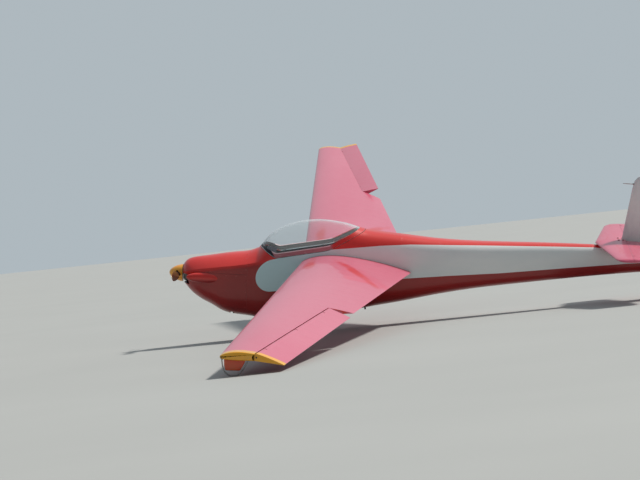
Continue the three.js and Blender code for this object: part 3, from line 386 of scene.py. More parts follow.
# Fuselage form
def deck_edge(x, top, middle, power):
    """How high the nose's edge lies, 0 at the widest point and 1 at the top, and its share of arch."""
    if x > DECK_EDGE[-1][0]:
        return sin(EDGE_TURN * pi / 2) ** (2 / power), 0.0
    _, z, arch = smooth_row(DECK_EDGE, x)
    return (z - middle) / (top - middle), arch


def bend(value, power):
    return copysign(abs(value) ** (2 / power), value)


def fuselage_point(x, angle, lift=0.0):
    """A point of the fuselage's skin: angle 0 is to starboard and a quarter turn is the top."""
    _, half, top, bottom, middle, upper_power, lower_power = smooth_row(FUSELAGE, x)
    angle %= 2 * pi
    if angle > pi:
        across, height = bend(cos(angle), lower_power), bend(sin(angle), lower_power)
        return Vector((x, (half + lift) * across, middle + (middle - bottom + lift) * height))
    edge, arch = deck_edge(x, top, middle, upper_power)
    turn_at_edge = asin(edge ** (upper_power / 2))
    share = 1 - abs(1 - angle / (pi / 2))
    if share < EDGE_TURN:
        turn = turn_at_edge * share / EDGE_TURN
        across, height = bend(cos(turn), upper_power), bend(sin(turn), upper_power)
    else:
        turn = mix(turn_at_edge, pi / 2, (share - EDGE_TURN) / (1 - EDGE_TURN))
        across = bend(cos(turn), upper_power)
        arched = 1 - (1 - edge) * (across / bend(cos(turn_at_edge), upper_power)) ** 2
        height = mix(bend(sin(turn), upper_power), arched, arch)
    return Vector((x, (half + lift) * copysign(across, cos(angle)), middle + (top - middle + lift) * height))


def half_width(x, z, inset=0.0):
    """The fuselage's half width at a height, closed in on from below and above."""
    low, high = -pi / 2, pi / 2
    for _ in range(26):
        middle = (low + high) / 2
        if fuselage_point(x, middle, -inset).z < z:
            low = middle
        else:
            high = middle
    return fuselage_point(x, low, -inset).y


NORMAL_STEP = 0.004     # a slope is taken over this much to either side


def skin_normal(x, angle):
    along = fuselage_point(x + NORMAL_STEP, angle) - fuselage_point(x - NORMAL_STEP, angle)
    around = fuselage_point(x, angle + NORMAL_STEP) - fuselage_point(x, angle - NORMAL_STEP)
    return around.cross(along).normalized()


def fuselage_shell(stations, sides=FUSELAGE_SIDES):
    bm = bmesh.new()
    angles = circle(sides, 0.5)
    loft(bm, [[fuselage_point(x, angle) for angle in angles] for x in stations], False, False)
    return bm


CANOPY_CURVE = rounded_line(CANOPY_LINE, 0.07, 4)


def cut_at_canopy(bm, shift, keep_above, frame_share=0):
    """Cuts a skin along the canopy line, or along the frame's top, and keeps one side of it."""
    line = [(x, z + height * frame_share + shift) for x, z, height in CANOPY_CURVE]
    for (x0, z0), (x1, z1) in zip(line, line[1:]):
        near = [face for face in bm.faces
                if x0 - 0.06 < face.calc_center_median().x < x1 + 0.06 and face.calc_center_median().z > 0.2]
        if near:
            score(bm, (x0, 0, z0), (z0 - z1, 0, x1 - x0), near)
    remove_faces(bm, lambda point: (point.z > straight_row(line, point.x)[1]) != keep_above)


# Flying surfaces
EDGE_HALF = 0.0015      # half of a trailing edge's thickness
LIP_GAP = 0.004         # between a moving surface's round nose and the cove round it
FOIL_STEPS, CLOSE_STEPS, NOSE_STEPS = 22, 7, 12
RIB_PITCH = 0.285
RIB_SLANT = 0.63        # the rib beside the aileron runs inboard by this much for each metre aft
RIB_BLEND = 0.300       # the span over which the wing's sections turn to that rib's slant
FABRIC_SAG, TAIL_SAG = 0.0008, 0.6 * 0.0008


@dataclass
class Section:
    """A foil: its leading point, its size, the ways its chord and its upper side point, and its hinge."""

    lead: Vector
    chord: float
    thickness: float
    camber: float
    along: Vector
    upward: Vector
    hinge: float
    sag: float = 0.0
    grow: float = 0.0

    def camber_at(self, u):
        crest = 0.4
        if u < crest:
            return self.camber / crest**2 * (2 * crest * u - u * u)
        return self.camber / (1 - crest) ** 2 * (1 - 2 * crest + 2 * crest * u - u * u)

    def half_at(self, u):
        shape = 0.2969 * sqrt(u) - 0.126 * u - 0.3516 * u**2 + 0.2843 * u**3 - 0.1036 * u**4
        return 5 * self.thickness * shape * self.chord + EDGE_HALF * u

    def point(self, u, side):
        sag = self.sag * smooth_share((u - 0.30) / 0.12) * smooth_share((0.97 - u) / 0.15)
        height = self.chord * self.camber_at(u) + side * (self.half_at(u) + self.grow - sag)
        return self.lead + self.along * (u * self.chord + self.grow * (2 * u - 1)) + self.upward * height

    def pivot(self):
        u = self.hinge / self.chord
        centre = self.lead + self.along * self.hinge + self.upward * (self.chord * self.camber_at(u))
        return centre, self.half_at(u), u

    def around(self, radius, start, end, steps):
        """Points on a circle round the hinge, from one angle above the chord to another."""
        centre = self.pivot()[0]
        angles = [mix(start, end, k / steps) for k in range(steps + 1)]
        return [centre + radius * (cos(a) * self.along + sin(a) * self.upward) for a in angles]


def fixed_ring(section, cove):
    """The part ahead of the hinge, closed behind by the cove, or by the whole trailing edge."""
    centre, radius, _ = section.pivot()
    reach = radius + LIP_GAP
    lip = (section.hinge - sqrt(reach**2 - radius**2)) / section.chord
    front = [lip * (1 - cos(pi / 2 * k / FOIL_STEPS)) for k in range(FOIL_STEPS + 1)]
    upper = [section.point(u, 1) for u in reversed(front)]
    lower = [section.point(u, -1) for u in front[1:]]
    if cove:
        below, above = (atan2((p - centre).dot(section.upward), (p - centre).dot(section.along))
                        for p in (lower[-1], upper[0]))
        return upper + lower + section.around(reach, below % (2 * pi), above, 2 * CLOSE_STEPS)[1:-1]
    back = [mix(lip, 1.0, k / CLOSE_STEPS) for k in range(1, CLOSE_STEPS + 1)]
    lower += [section.point(u, -1) for u in back]
    return upper + lower + [section.point(u, 1) for u in reversed(back[:-1])]


def moving_ring(section, notched=False):
    """The part behind the hinge, with its round nose, or cut back where a hinge's lug stands."""
    centre, radius, _ = section.pivot()
    wall = (section.hinge + LUG["slot_reach"]) / section.chord
    back = [mix(1.0, wall, k / 8) for k in range(9)]
    upper = [section.point(u, 1) for u in back]
    lower = [section.point(u, -1) for u in reversed(back)]
    if notched:
        nose = [upper[-1].lerp(lower[0], (k + 0.5) / (NOSE_STEPS + 1)) for k in range(NOSE_STEPS + 1)]
    else:
        nose = section.around(radius, pi / 2, 3 * pi / 2, NOSE_STEPS)
    return upper + nose + lower


LUG = {"radius": 0.010, "half_width": 0.004, "slot_half": 0.009, "slot_reach": 0.016, "bury": 0.022,
       "pin": 0.005}


def add_lug(bm, centre, aft, along, reach):
    """A rounded hinge plate that stands out of the fixed part to the hinge line."""
    upward = aft.cross(along).normalized()
    aft = along.cross(upward).normalized()
    r = LUG["radius"]
    arc = [mix(-pi / 2, pi / 2, k / 10) for k in range(11)]
    outline = [centre + r * (cos(a) * aft + sin(a) * upward) for a in arc]
    outline += [centre - aft * (reach + LUG["bury"]) + upward * s * r for s in (1, -1)]
    plate(bm, [p - along * LUG["half_width"] for p in outline], along, 2 * LUG["half_width"])


def add_pin(bm, centre, along):
    half = LUG["slot_half"] + 0.004
    rod(bm, centre - along * half, centre + along * half, LUG["pin"], sides=16)


def foil_ways(incidence):
    """The ways that a foil's chord and its upper side point."""
    along, upward = (cos(incidence), 0, -sin(incidence)), (sin(incidence), 0, cos(incidence))
    return {"along": Vector(along), "upward": Vector(upward)}


def wing_section(y):
    span = abs(y)
    lead_x = WING_LEAD["x"] - WING_LEAD["forward"] * span
    hinge_x = mix(1.990, 1.548, (span - AILERON_INNER) / (AILERON_OUTER - AILERON_INNER))
    return Section(
        lead=Vector((lead_x, span, WING_LEAD["z"] + WING_LEAD["rise"] * span)),
        chord=mix(1.245, 0.540, span / HALF_SPAN),
        thickness=0.14, camber=0.035, **foil_ways(WING_INCIDENCE),
        hinge=hinge_x - lead_x,
        sag=FABRIC_SAG * sin(pi * span / RIB_PITCH) ** 2,
    )


def tip_share(distance, width):
    """How much of its thickness a surface keeps near its rounded tip."""
    t = min(max(1 - distance / width, 0.0), 1.0)
    return max(sqrt(1 - t * t), 0.12)


def tail_section(y):
    _, lead_x, edge_x = straight_row(TAIL_OUTLINE, abs(y))
    return Section(
        lead=Vector((lead_x, y, TAIL_Z - (lead_x - TAIL_HINGE_X) * tan(TAIL_INCIDENCE))),
        chord=edge_x - lead_x,
        thickness=0.11 * tip_share(TAIL_OUTLINE[-1][0] - abs(y), TAIL_TIP_ROUNDING), camber=0.0,
        **foil_ways(TAIL_INCIDENCE),
        hinge=(TAIL_HINGE_X - lead_x) / cos(TAIL_INCIDENCE),
        sag=TAIL_SAG * sin(pi * y / TAIL_RIB_PITCH) ** 2,
    )


def fin_section(z):
    _, lead_x, edge_x = straight_row(FIN_OUTLINE, z)
    return Section(
        lead=Vector((lead_x, 0, z)), chord=edge_x - lead_x,
        thickness=0.055 * tip_share(FIN_OUTLINE[-1][0] - z, TAIL_TIP_ROUNDING), camber=0.0,
        along=X_WAY, upward=Y_WAY,
        hinge=RUDDER_HINGE_X - lead_x,
        sag=TAIL_SAG * sin(pi * z / TAIL_RIB_PITCH) ** 2,
    )


# Materials
def srgb(red, green, blue):
    """A colour as the eye names it, from 0 to 255 each, in the renderer's linear values."""
    def linear(value):
        value /= 255
        return value / 12.92 if value <= 0.04045 else ((value + 0.055) / 1.055) ** 2.4
    return (linear(red), linear(green), linear(blue), 1.0)


class Signal:
    """A value that varies over a surface; arithmetic on it adds Math nodes."""

    def __init__(self, finish, socket):
        self.finish = finish
        self.socket = socket

    def __add__(self, other):
        return self.finish.math("ADD", self, other)

    __radd__ = __add__

    def __sub__(self, other):
        return self.finish.math("SUBTRACT", self, other)

    def __rsub__(self, other):
        return self.finish.math("SUBTRACT", other, self)

    def __mul__(self, other):
        return self.finish.math("MULTIPLY", self, other)

    __rmul__ = __mul__

    def __truediv__(self, other):
        return self.finish.math("DIVIDE", self, other)

    def __pow__(self, other):
        return self.finish.math("POWER", self, other)

    def __abs__(self):
        return self.finish.math("ABSOLUTE", self)

    def rise(self, low, high):
        """0 up to low, 1 from high on, and smooth between them; high may be the lower one."""
        flip = low > high
        return self.finish.add("ShaderNodeMapRange", {"interpolation_type": "SMOOTHSTEP"}, {
            "Value": self, "From Min": min(low, high), "From Max": max(low, high),
            "To Min": float(flip), "To Max": float(not flip)})

    def wave(self, pitch):
        """A sine of this value, from -1 to 1, that repeats each pitch."""
        return self.finish.math("SINE", self * (2 * pi / pitch))

    def to_nearest(self, pitch, start=0.0):
        """Distance to the nearest of evenly pitched lines."""
        turns = self.finish.math("FRACT", (self - start) / pitch + 100.5)
        return abs(turns - 0.5) * pitch


class Finish:
    """A material that is being drawn up, with the body axes' coordinates at hand."""

    def __init__(self, name, **fixed):
        self.data = bpy.data.materials.new(name)
        self.data.use_nodes = True
        self.tree = self.data.node_tree
        self.shader = self.tree.nodes["Principled BSDF"]
        self.place = self.add("ShaderNodeTexCoord", output="Object")
        self.x, self.y, self.z = (self.along(axis) for axis in (AFT, STARBOARD, UP))
        self.set(**fixed)

    def add(self, kind, settings=None, inputs=None, output=0):
        node = self.tree.nodes.new(kind)
        for key, value in (settings or {}).items():
            if key == "stops":
                for stop, (position, level) in zip(self.stops(node, len(value)), value):
                    stop.position = position
                    stop.color = (level, level, level, 1.0)
            else:
                setattr(node, key, value)
        for key, value in (inputs or {}).items():
            self.feed(node.inputs[key], value)
        return Signal(self, node.outputs[output])

    def stops(self, node, count):
        ramp = node.color_ramp
        while len(ramp.elements) < count:
            ramp.elements.new(0.5)
        return ramp.elements

    def feed(self, socket, value):
        if isinstance(value, Signal):
            self.tree.links.new(value.socket, socket)
        else:
            socket.default_value = value

    def math(self, operation, *values):
        return self.add("ShaderNodeMath", {"operation": operation}, dict(enumerate(values)))

    def smaller(self, first, second):
        return self.math("MINIMUM", first, second)

    def along(self, direction):
        product = self.add("ShaderNodeVectorMath", {"operation": "DOT_PRODUCT"},
                           {0: self.place, 1: tuple(direction)}, output="Value")
        return product - direction.dot(NOSE_TIP)

    def vector(self, scale_x, scale_y, scale_z):
        return self.add("ShaderNodeCombineXYZ", None,
                        {"X": self.x * scale_x, "Y": self.y * scale_y, "Z": self.z * scale_z})

    def noise(self, scale, stretch=(1, 1, 1), detail=3.0, roughness=0.5):
        """Cloudy noise from 0 to 1 with so many lumps a metre, drawn out along the body axes."""
        return self.add("ShaderNodeTexNoise", None, {
            "Vector": self.vector(*stretch), "Scale": scale, "Detail": detail, "Roughness": roughness})

    def specks(self, scale, size):
        """Small separate specks, so many a metre."""
        distance = self.add("ShaderNodeTexVoronoi", None, {"Vector": self.vector(1, 1, 1), "Scale": scale})
        return distance.rise(size, size * 0.5)

    def curve(self, key, points):
        """A function of a signal, drawn as straight lines through (key, value) points."""
        keys, values = [p[0] for p in points], [p[1] for p in points]
        low, high = min(values), max(values)
        share = (key - keys[0]) / (keys[-1] - keys[0])
        stops = [((k - keys[0]) / (keys[-1] - keys[0]), (v - low) / (high - low)) for k, v in points]
        ramp = self.add("ShaderNodeValToRGB", {"stops": stops}, {"Fac": share})
        return self.math("MULTIPLY", ramp, high - low) + low

    def mixed(self, factor, first, second):
        """One colour turning into another."""
        return self.add("ShaderNodeMix", {"data_type": "RGBA", "clamp_factor": True},
                        {0: factor, 6: first, 7: second}, output=2)

    def set(self, **values):
        """Feeds the main shader's sockets, named by their words joined with underscores."""
        for key, value in values.items():
            name = {"ior": "IOR", "gleam": "Specular IOR Level"}.get(key, key.replace("_", " ").title())
            self.feed(self.shader.inputs[name], value)
        return self

    def bump(self, height, depth):
        """Raises the surface by a height signal of 0 to 1, times a depth in metres."""
        self.set(normal=self.add("ShaderNodeBump", None, {"Distance": depth, "Height": height}))


RED = srgb(204, 30, 26)
RED_FADED = srgb(218, 46, 38)
# The red as painted in shade, under the sunlit line and on the blisters' lower halves
RED_PAINTED_SHADE = srgb(148, 16, 14)
RED_PAINTED_SHADE_FADED = srgb(160, 24, 20)
WING_RED = srgb(206, 88, 116)
WING_PALE = srgb(212, 106, 130)
WING_DEEP = srgb(204, 30, 40)
WHITE = srgb(236, 236, 234)
# The white band as painted in bluish shade, ahead of the wing's root
WHITE_IN_PAINTED_SHADE = srgb(196, 224, 228)
YELLOW = srgb(240, 168, 18)
ORANGE = srgb(206, 60, 18)
NAVY = srgb(18, 20, 38)
DUSTY_PINK = srgb(176, 104, 114)
GRIME = srgb(58, 46, 38)

# The white side band, (station, height) in metres: its top edge and its lower edge
BAND_TOP = [(0.90, 0.170), (1.055, 0.208), (1.252, 0.261), (1.471, 0.304), (1.80, 0.373), (2.347, 0.433),
            (2.676, 0.455), (3.11, 0.460), (4.32, 0.485), (4.69, 0.490), (5.08, 0.478), (5.60, 0.455)]
BAND_LOW = [(0.90, -0.145), (1.15, -0.120), (2.58, 0.078), (3.13, 0.130), (3.68, 0.177), (4.33, 0.250),
            (4.70, 0.289), (5.08, 0.330), (5.60, 0.375)]
BAND_ROUND = {"centre": 1.155, "radius": 0.165}
YELLOW_FROM = 7.055
# Patches near each wing's root with a painted reflection of the fuselage's red: middle, half sizes and sweep
REFLECTED_RED_PATCHES = [
    {"x": 1.625, "span": 1.00, "half_chord": 0.075, "half_span": 0.62, "sweep": 0.0},
    {"x": 2.120, "span": 1.35, "half_chord": 0.080, "half_span": 0.85, "sweep": 0.34},
]
# The line above which the red is painted as if sunlit, and below which it is painted in shade
PAINTED_SHADE_LINE = [(0.16, 0.020), (0.29, 0.050), (0.45, 0.094), (0.60, 0.124), (0.895, 0.168), (1.00, 0.192),
            (1.11, 0.220), (1.45, 0.150), (2.60, 0.260), (5.60, 0.410)]


def side_band(paint):
    """The white band's mask, with its round front end."""
    top, low = paint.curve(paint.x, BAND_TOP), paint.curve(paint.x, BAND_LOW)
    across = (paint.z - low) / (top - low) * 2 - 1
    ahead = paint.smaller((paint.x - BAND_ROUND["centre"]) / BAND_ROUND["radius"], 0.0)
    return (1 - ahead * ahead - across * across).rise(-0.006, 0.006)


def broad_fade(paint, base, faded, scale=1.3, stretch=(1, 1, 1)):
    """A paint's colour, bleached in soft clouds, with a little finer mottling."""
    clouds = paint.noise(scale, stretch, detail=4.0).rise(0.35, 0.72)
    mottled = paint.noise(scale * 14, stretch, detail=2.0).rise(0.3, 0.8) * 0.18
    return paint.mixed(clouds * 0.8 + mottled, base, faded)


def red_with_painted_shade(paint, scale, stretch=(1, 1, 1)):
    """The red, painted as if sunlit above a line and painted in shade below it."""
    bright = broad_fade(paint, RED, RED_FADED, scale, stretch)
    deep = broad_fade(paint, RED_PAINTED_SHADE, RED_PAINTED_SHADE_FADED, scale, stretch)
    return paint.mixed((paint.z - paint.curve(paint.x, PAINTED_SHADE_LINE)).rise(-0.045, 0.006), deep, bright)


def cloth_height(paint):
    """The faint weave of painted cloth."""
    pitch = 0.0016
    crossed = paint.x.wave(pitch) * paint.y.wave(pitch)
    return (crossed + paint.x.wave(pitch) * paint.z.wave(pitch)) * 0.25 + 0.5


def make_fuselage_paint():
    paint = Finish("fuselage_paint", coat_roughness=0.06, ior=1.5)
    band = side_band(paint)
    # The red has painted shade below a line along the flank and painted sunlight above it
    red = red_with_painted_shade(paint, 1.1, (0.5, 1, 1))
    white = broad_fade(paint, WHITE, srgb(222, 226, 226), 1.4, (0.4, 1, 1))
    # Ahead of the wing's root the white band is painted in bluish shade
    white = paint.mixed(paint.x.rise(2.1, 1.5), white, WHITE_IN_PAINTED_SHADE)
    colour = paint.mixed(band, red, white)
    belly = paint.noise(7, (0.12, 1, 0.6), detail=4).rise(0.45, 0.75) * paint.z.rise(0.02, -0.42)
    behind_cowl = paint.x.rise(3.6, 0.9)
    grime = belly * behind_cowl * 0.55
    dust = paint.noise(38, detail=2).rise(0.62, 0.8) * 0.05
    colour = paint.mixed(grime + dust, colour, GRIME)
    frames = paint.x.to_nearest(0.42, 0.05).rise(0.013, 0.011) * paint.x.rise(2.3, 2.34)
    weave = cloth_height(paint)
    paint.bump(frames * 0.25 + weave * 0.06 + paint.noise(5, (0.4, 1, 1), 2.0) * 0.5, 0.0012)
    rough = 0.32 + grime * 0.4 + paint.noise(60, detail=1) * 0.08
    return paint.set(base_color=colour, roughness=rough, coat_weight=0.35 - grime * 0.5).data


def make_cowl_paint():
    paint = Finish("cowl_paint", coat_roughness=0.05, ior=1.5)
    # The cowl's red has painted shade below a line along the flank and painted sunlight above it
    colour = red_with_painted_shade(paint, 2.2)
    soot = paint.noise(9, (0.25, 1, 1), 4).rise(0.42, 0.8) * paint.x.rise(0.55, 0.80)
    soot = soot * paint.z.rise(-0.26, -0.42)
    chips = paint.specks(70, 0.2) * paint.x.rise(0.32, 0.18) * paint.noise(22).rise(0.5, 0.6)
    colour = paint.mixed(soot * 0.7, colour, GRIME)
    colour = paint.mixed(chips * 0.8, colour, srgb(150, 120, 110))
    seam = abs(paint.z - COWL_SPLIT).rise(0.0016, 0.0008)
    colour = paint.mixed(seam * 0.75, colour, srgb(60, 12, 12))
    paint.bump(paint.noise(240, detail=1) * 0.12 + paint.noise(6) * 0.5 + (1 - seam), 0.0008)
    rough = 0.28 + soot * 0.4 + paint.noise(45, detail=1) * 0.08
    return paint.set(base_color=colour, roughness=rough, coat_weight=0.35 - soot * 0.3).data


def make_cheek_paint():
    paint = Finish("cheek_paint", coat_roughness=0.06, ior=1.5)
    bright = broad_fade(paint, RED, RED_FADED, 2.2)
    deep = broad_fade(paint, RED_PAINTED_SHADE, RED_PAINTED_SHADE_FADED, 2.2)
    # Painted shade on each blister's lower half, painted sunlight on its upper half
    colour = paint.mixed(paint.z.rise(-0.040, -0.006), deep, bright)
    paint.bump(paint.noise(240, detail=1) * 0.12 + paint.noise(6) * 0.5, 0.0008)
    rough = 0.28 + paint.noise(45, detail=1) * 0.08
    return paint.set(base_color=colour, roughness=rough, coat_weight=0.35).data


def rib_tapes(paint, key, pitch, spar_x):
    """Tape lines over the ribs, with pinked edges, aft of the spar."""
    teeth = paint.x.to_nearest(0.006) * 0.35
    line = (key.to_nearest(pitch) + teeth).rise(0.0175, 0.0160)
    return line * paint.x.rise(spar_x, spar_x + 0.04)


def make_wing_paint():
    paint = Finish("wing_paint", coat_roughness=0.04, ior=1.5)
    span = abs(paint.y)
    colour = broad_fade(paint, WING_RED, WING_PALE, 0.8, (1, 0.35, 1))
    # Deeper red near each root is a painted reflection of the fuselage's red
    ragged = paint.noise(7, (1, 0.4, 1), 4)
    painted_reflection_share = 0.0
    for patch in REFLECTED_RED_PATCHES:
        ahead, out = paint.x - patch["x"], span - patch["span"]
        turned_x = ahead * cos(patch["sweep"]) - out * sin(patch["sweep"])
        turned_y = ahead * sin(patch["sweep"]) + out * cos(patch["sweep"])
        far = (turned_x / patch["half_chord"]) ** 2.0 + (turned_y / patch["half_span"]) ** 2.0
        painted_reflection_share = painted_reflection_share + (far + ragged * 1.6).rise(1.9, 0.7)
    deep = paint.smaller(painted_reflection_share + span.rise(0.40, 0.30) * 0.4, 1.0) * 0.9
    colour = paint.mixed(deep, colour, WING_DEEP)
    rib = abs(span - 4.040 + (paint.x - 1.994) * RIB_SLANT).rise(0.004, 0.002) * paint.x.rise(1.99, 2.00)
    colour = paint.mixed(rib, colour, srgb(222, 54, 26))
    lead = paint.x - WING_LEAD["x"] + span * WING_LEAD["forward"]
    insects = paint.specks(34, 0.16) * lead.rise(0.05, -0.01) * paint.noise(9).rise(0.4, 0.6)
    colour = paint.mixed(insects * 0.6, colour, GRIME)
    wing_yellow = span.rise(YELLOW_FROM - 0.0015, YELLOW_FROM)
    colour = paint.mixed(wing_yellow, colour, broad_fade(paint, YELLOW, srgb(226, 176, 60), 5))
    tapes = rib_tapes(paint, span, RIB_PITCH, 1.80)
    aft = lead.rise(0.36, 0.42)
    height = tapes * 0.3 + cloth_height(paint) * 0.05 * aft
    paint.bump(height + paint.noise(3.2, (1, 0.4, 1), 2) * 0.8, 0.0010)
    colour = paint.mixed(tapes * 0.06, colour, srgb(150, 60, 70))
    rough = 0.26 + paint.noise(50, detail=1) * 0.08 + insects * 0.3
    return paint.set(base_color=colour, roughness=rough, coat_weight=0.3).data


def make_tail_paint():
    paint = Finish("tail_paint", coat_roughness=0.05, ior=1.5)
    span = abs(paint.y)
    colour = broad_fade(paint, WING_RED, WING_PALE, 1.6, (1, 0.5, 1))
    streak = paint.noise(8, (2.4, 0.35, 1), 3).rise(0.52, 0.74) * 0.35
    colour = paint.mixed(streak, colour, WING_DEEP)
    tapes = rib_tapes(paint, span, TAIL_RIB_PITCH, 4.98)
    paint.bump(tapes * 0.3 + cloth_height(paint) * 0.05 + paint.noise(6, (1, 0.5, 1), 2) * 0.7, 0.0009)
    rough = 0.28 + paint.noise(50, detail=1) * 0.08
    return paint.set(base_color=colour, roughness=rough, coat_weight=0.3).data


def make_fin_paint():
    paint = Finish("fin_paint", coat_roughness=0.08, ior=1.5)
    colour = broad_fade(paint, WHITE, srgb(204, 204, 210), 2.4, (1, 1, 0.5))
    low = paint.z.rise(0.62, 0.46) * paint.noise(10, (1, 1, 0.5)).rise(0.45, 0.7)
    colour = paint.mixed(low * 0.35, colour, srgb(150, 132, 128))
    tapes = rib_tapes(paint, paint.z, TAIL_RIB_PITCH, 5.16)
    paint.bump(tapes * 0.35 + cloth_height(paint) * 0.05 + paint.noise(6, (1, 1, 0.5), 2) * 0.6, 0.0010)
    return paint.set(base_color=colour, roughness=0.34 + low * 0.2, coat_weight=0.7).data


def make_gloss(name, base, faded, wear=0.0, wear_colour=GRIME, coat=0.8, scale=4.0):
    """Plain glossy paint on a small piece, with scuffs where wear is above 0."""
    paint = Finish(name, coat_roughness=0.06, ior=1.5)
    colour = broad_fade(paint, base, faded, scale)
    scuffs = paint.noise(46, (0.2, 1, 1), 3).rise(0.64, 0.74) * wear
    colour = paint.mixed(scuffs, colour, wear_colour)
    paint.bump(paint.noise(200, detail=1) * 0.3 + scuffs * 0.4, 0.0004)
    return paint.set(base_color=colour, roughness=0.3 + scuffs * 0.4, coat_weight=coat).data


def make_tip_wood():
    paint = Finish("tip_block_paint", coat_roughness=0.1, ior=1.5)
    colour = broad_fade(paint, ORANGE, srgb(206, 84, 34), 9)
    scraped = paint.noise(60, (0.15, 1, 1), 4).rise(0.5, 0.62) * paint.z.rise(0.505, 0.462)
    grain = paint.noise(90, (0.08, 1, 1), 3)
    bare = paint.mixed(grain, srgb(150, 110, 72), srgb(104, 72, 46))
    colour = paint.mixed(scraped, colour, bare)
    paint.bump((1 - scraped) * 0.6 + grain * 0.3, 0.0006)
    rough = 0.34 + scraped * 0.35
    return paint.set(base_color=colour, roughness=rough, coat_weight=0.5 - scraped * 0.5).data


def make_metal(name, light, dark, rough=0.35, metallic=1.0, cast=False, rust=0.0):
    """Bare or painted metal, its grain drawn out unless it is cast, and rusty where rust is above 0."""
    metal = Finish(name)
    strands = metal.noise(120, (1, 1, 1) if cast else (0.2, 1, 1), 3)
    colour = metal.mixed(strands, dark, light)
    spots = metal.noise(55, detail=4).rise(0.58, 0.7) * rust
    colour = metal.mixed(spots, colour, srgb(110, 62, 36))
    metal.bump(strands * 0.6 + spots, 0.0002)
    return metal.set(base_color=colour, roughness=rough + strands * 0.12 + spots * 0.3,
                     metallic=(1 - spots) * metallic).data


def make_wood(name, light, dark, gloss=0.5, laminated=0.0):
    """Varnished wood with grain along X, and glue lines where laminated is a pitch in metres."""
    wood = Finish(name, coat_roughness=0.08, ior=1.5)
    waves = (wood.noise(24, (0.12, 1, 1), 5, 0.6) * 9).wave(1.0) * 0.5 + 0.5
    pores = wood.noise(420, (0.04, 1, 1), 2).rise(0.5, 0.75)
    colour = wood.mixed(waves * 0.7 + pores * 0.3, light, dark)
    height = pores * -0.3 + waves * 0.2
    if laminated:
        glue = wood.x.to_nearest(laminated).rise(0.0010, 0.0006)
        colour = wood.mixed(glue, colour, srgb(60, 34, 18))
    wood.bump(height, 0.0003)
    return wood.set(base_color=colour, roughness=0.4 + pores * 0.1, coat_weight=gloss).data


def make_glass():
    glass = Finish("canopy_glass_clear", roughness=0.03, ior=1.49)
    edge_on = glass.add("ShaderNodeLayerWeight", None, {"Blend": 0.5}, output="Facing")
    wear = glass.noise(30, (0.3, 1, 1), 3).rise(0.55, 0.8) * 0.03
    glass.set(base_color=glass.mixed(edge_on.rise(0.2, 0.95), srgb(196, 214, 214), srgb(226, 236, 242)))
    return glass.set(alpha=edge_on**5 * 0.85 + wear + 0.05).data


def make_cloth(name, light, dark, pitch, stitched=0.0):
    """Woven cloth, with rows of stitches where stitched is their pitch in metres."""
    cloth = Finish(name, sheen_weight=0.35, sheen_roughness=0.5)
    weave = cloth.x.wave(pitch) * cloth.y.wave(pitch) * 0.5 + 0.5
    across = cloth.z.wave(pitch) * cloth.y.wave(pitch) * 0.5 + 0.5
    thread = weave * 0.5 + across * 0.5
    colour = cloth.mixed(thread * 0.5 + cloth.noise(14, detail=4) * 0.6, dark, light)
    height = thread * 0.6 + cloth.noise(90, detail=2) * 0.4
    if stitched:
        seam = abs(cloth.y).to_nearest(stitched).rise(0.004, 0.001)
        height = height - seam
    cloth.bump(height, 0.0008)
    return cloth.set(base_color=colour, roughness=0.86 + thread * 0.08).data


def make_rubber():
    rubber = Finish("tyre_black")
    dusty = rubber.noise(14, detail=4).rise(0.4, 0.75)
    colour = rubber.mixed(dusty * 0.55, srgb(26, 26, 27), srgb(92, 84, 70))
    rubber.bump(rubber.noise(300, detail=2), 0.0004)
    return rubber.set(base_color=colour, roughness=0.78 + dusty * 0.15).data


def make_plastic(name, colour, grain=420, rough=0.6):
    """Moulded or crackle-painted surface with a fine grain."""
    plastic = Finish(name, gleam=0.3)
    lumps = plastic.noise(grain, detail=2)
    shade = plastic.mixed(plastic.noise(9, detail=3).rise(0.4, 0.8) * 0.4, colour,
                          tuple(mix(c, 0.20, 0.15) for c in colour[:3]) + (1.0,))
    plastic.bump(lumps, 0.0003)
    return plastic.set(base_color=shade, roughness=rough + lumps * 0.12).data


def make_frame_paint():
    """The canopy frame: dusty pink with a painted highlight along its top edge, near black round the front,
    red at the back.
    """
    paint = Finish("canopy_frame_paint", coat_roughness=0.1, ior=1.5)
    front = (paint.x + (paint.z - 0.31) * 0.6).rise(1.169, 1.163)
    over_rail = paint.z - paint.curve(paint.x, [(x, z) for x, z, _ in CANOPY_LINE])
    colour = broad_fade(paint, DUSTY_PINK, srgb(186, 118, 126), 6)
    rubbed = paint.noise(50, (0.2, 1, 1), 3).rise(0.6, 0.72) * 0.3
    colour = paint.mixed(rubbed, colour, srgb(222, 200, 196))
    colour = paint.mixed(paint.x.rise(1.80, 1.84), colour, broad_fade(paint, RED, RED_FADED, 3))
    # A painted highlight along the rail's top edge
    band = over_rail.rise(0.040, 0.043) * paint.x.rise(1.81, 1.79)
    colour = paint.mixed(band, colour, srgb(232, 200, 204))
    colour = paint.mixed(front, colour, paint.mixed(over_rail.rise(0.006, 0.004), NAVY, srgb(190, 184, 188)))
    paint.bump(paint.noise(160, detail=1), 0.0003)
    return paint.set(base_color=colour, roughness=0.38 + front * 0.2, coat_weight=0.3 - front * 0.2).data


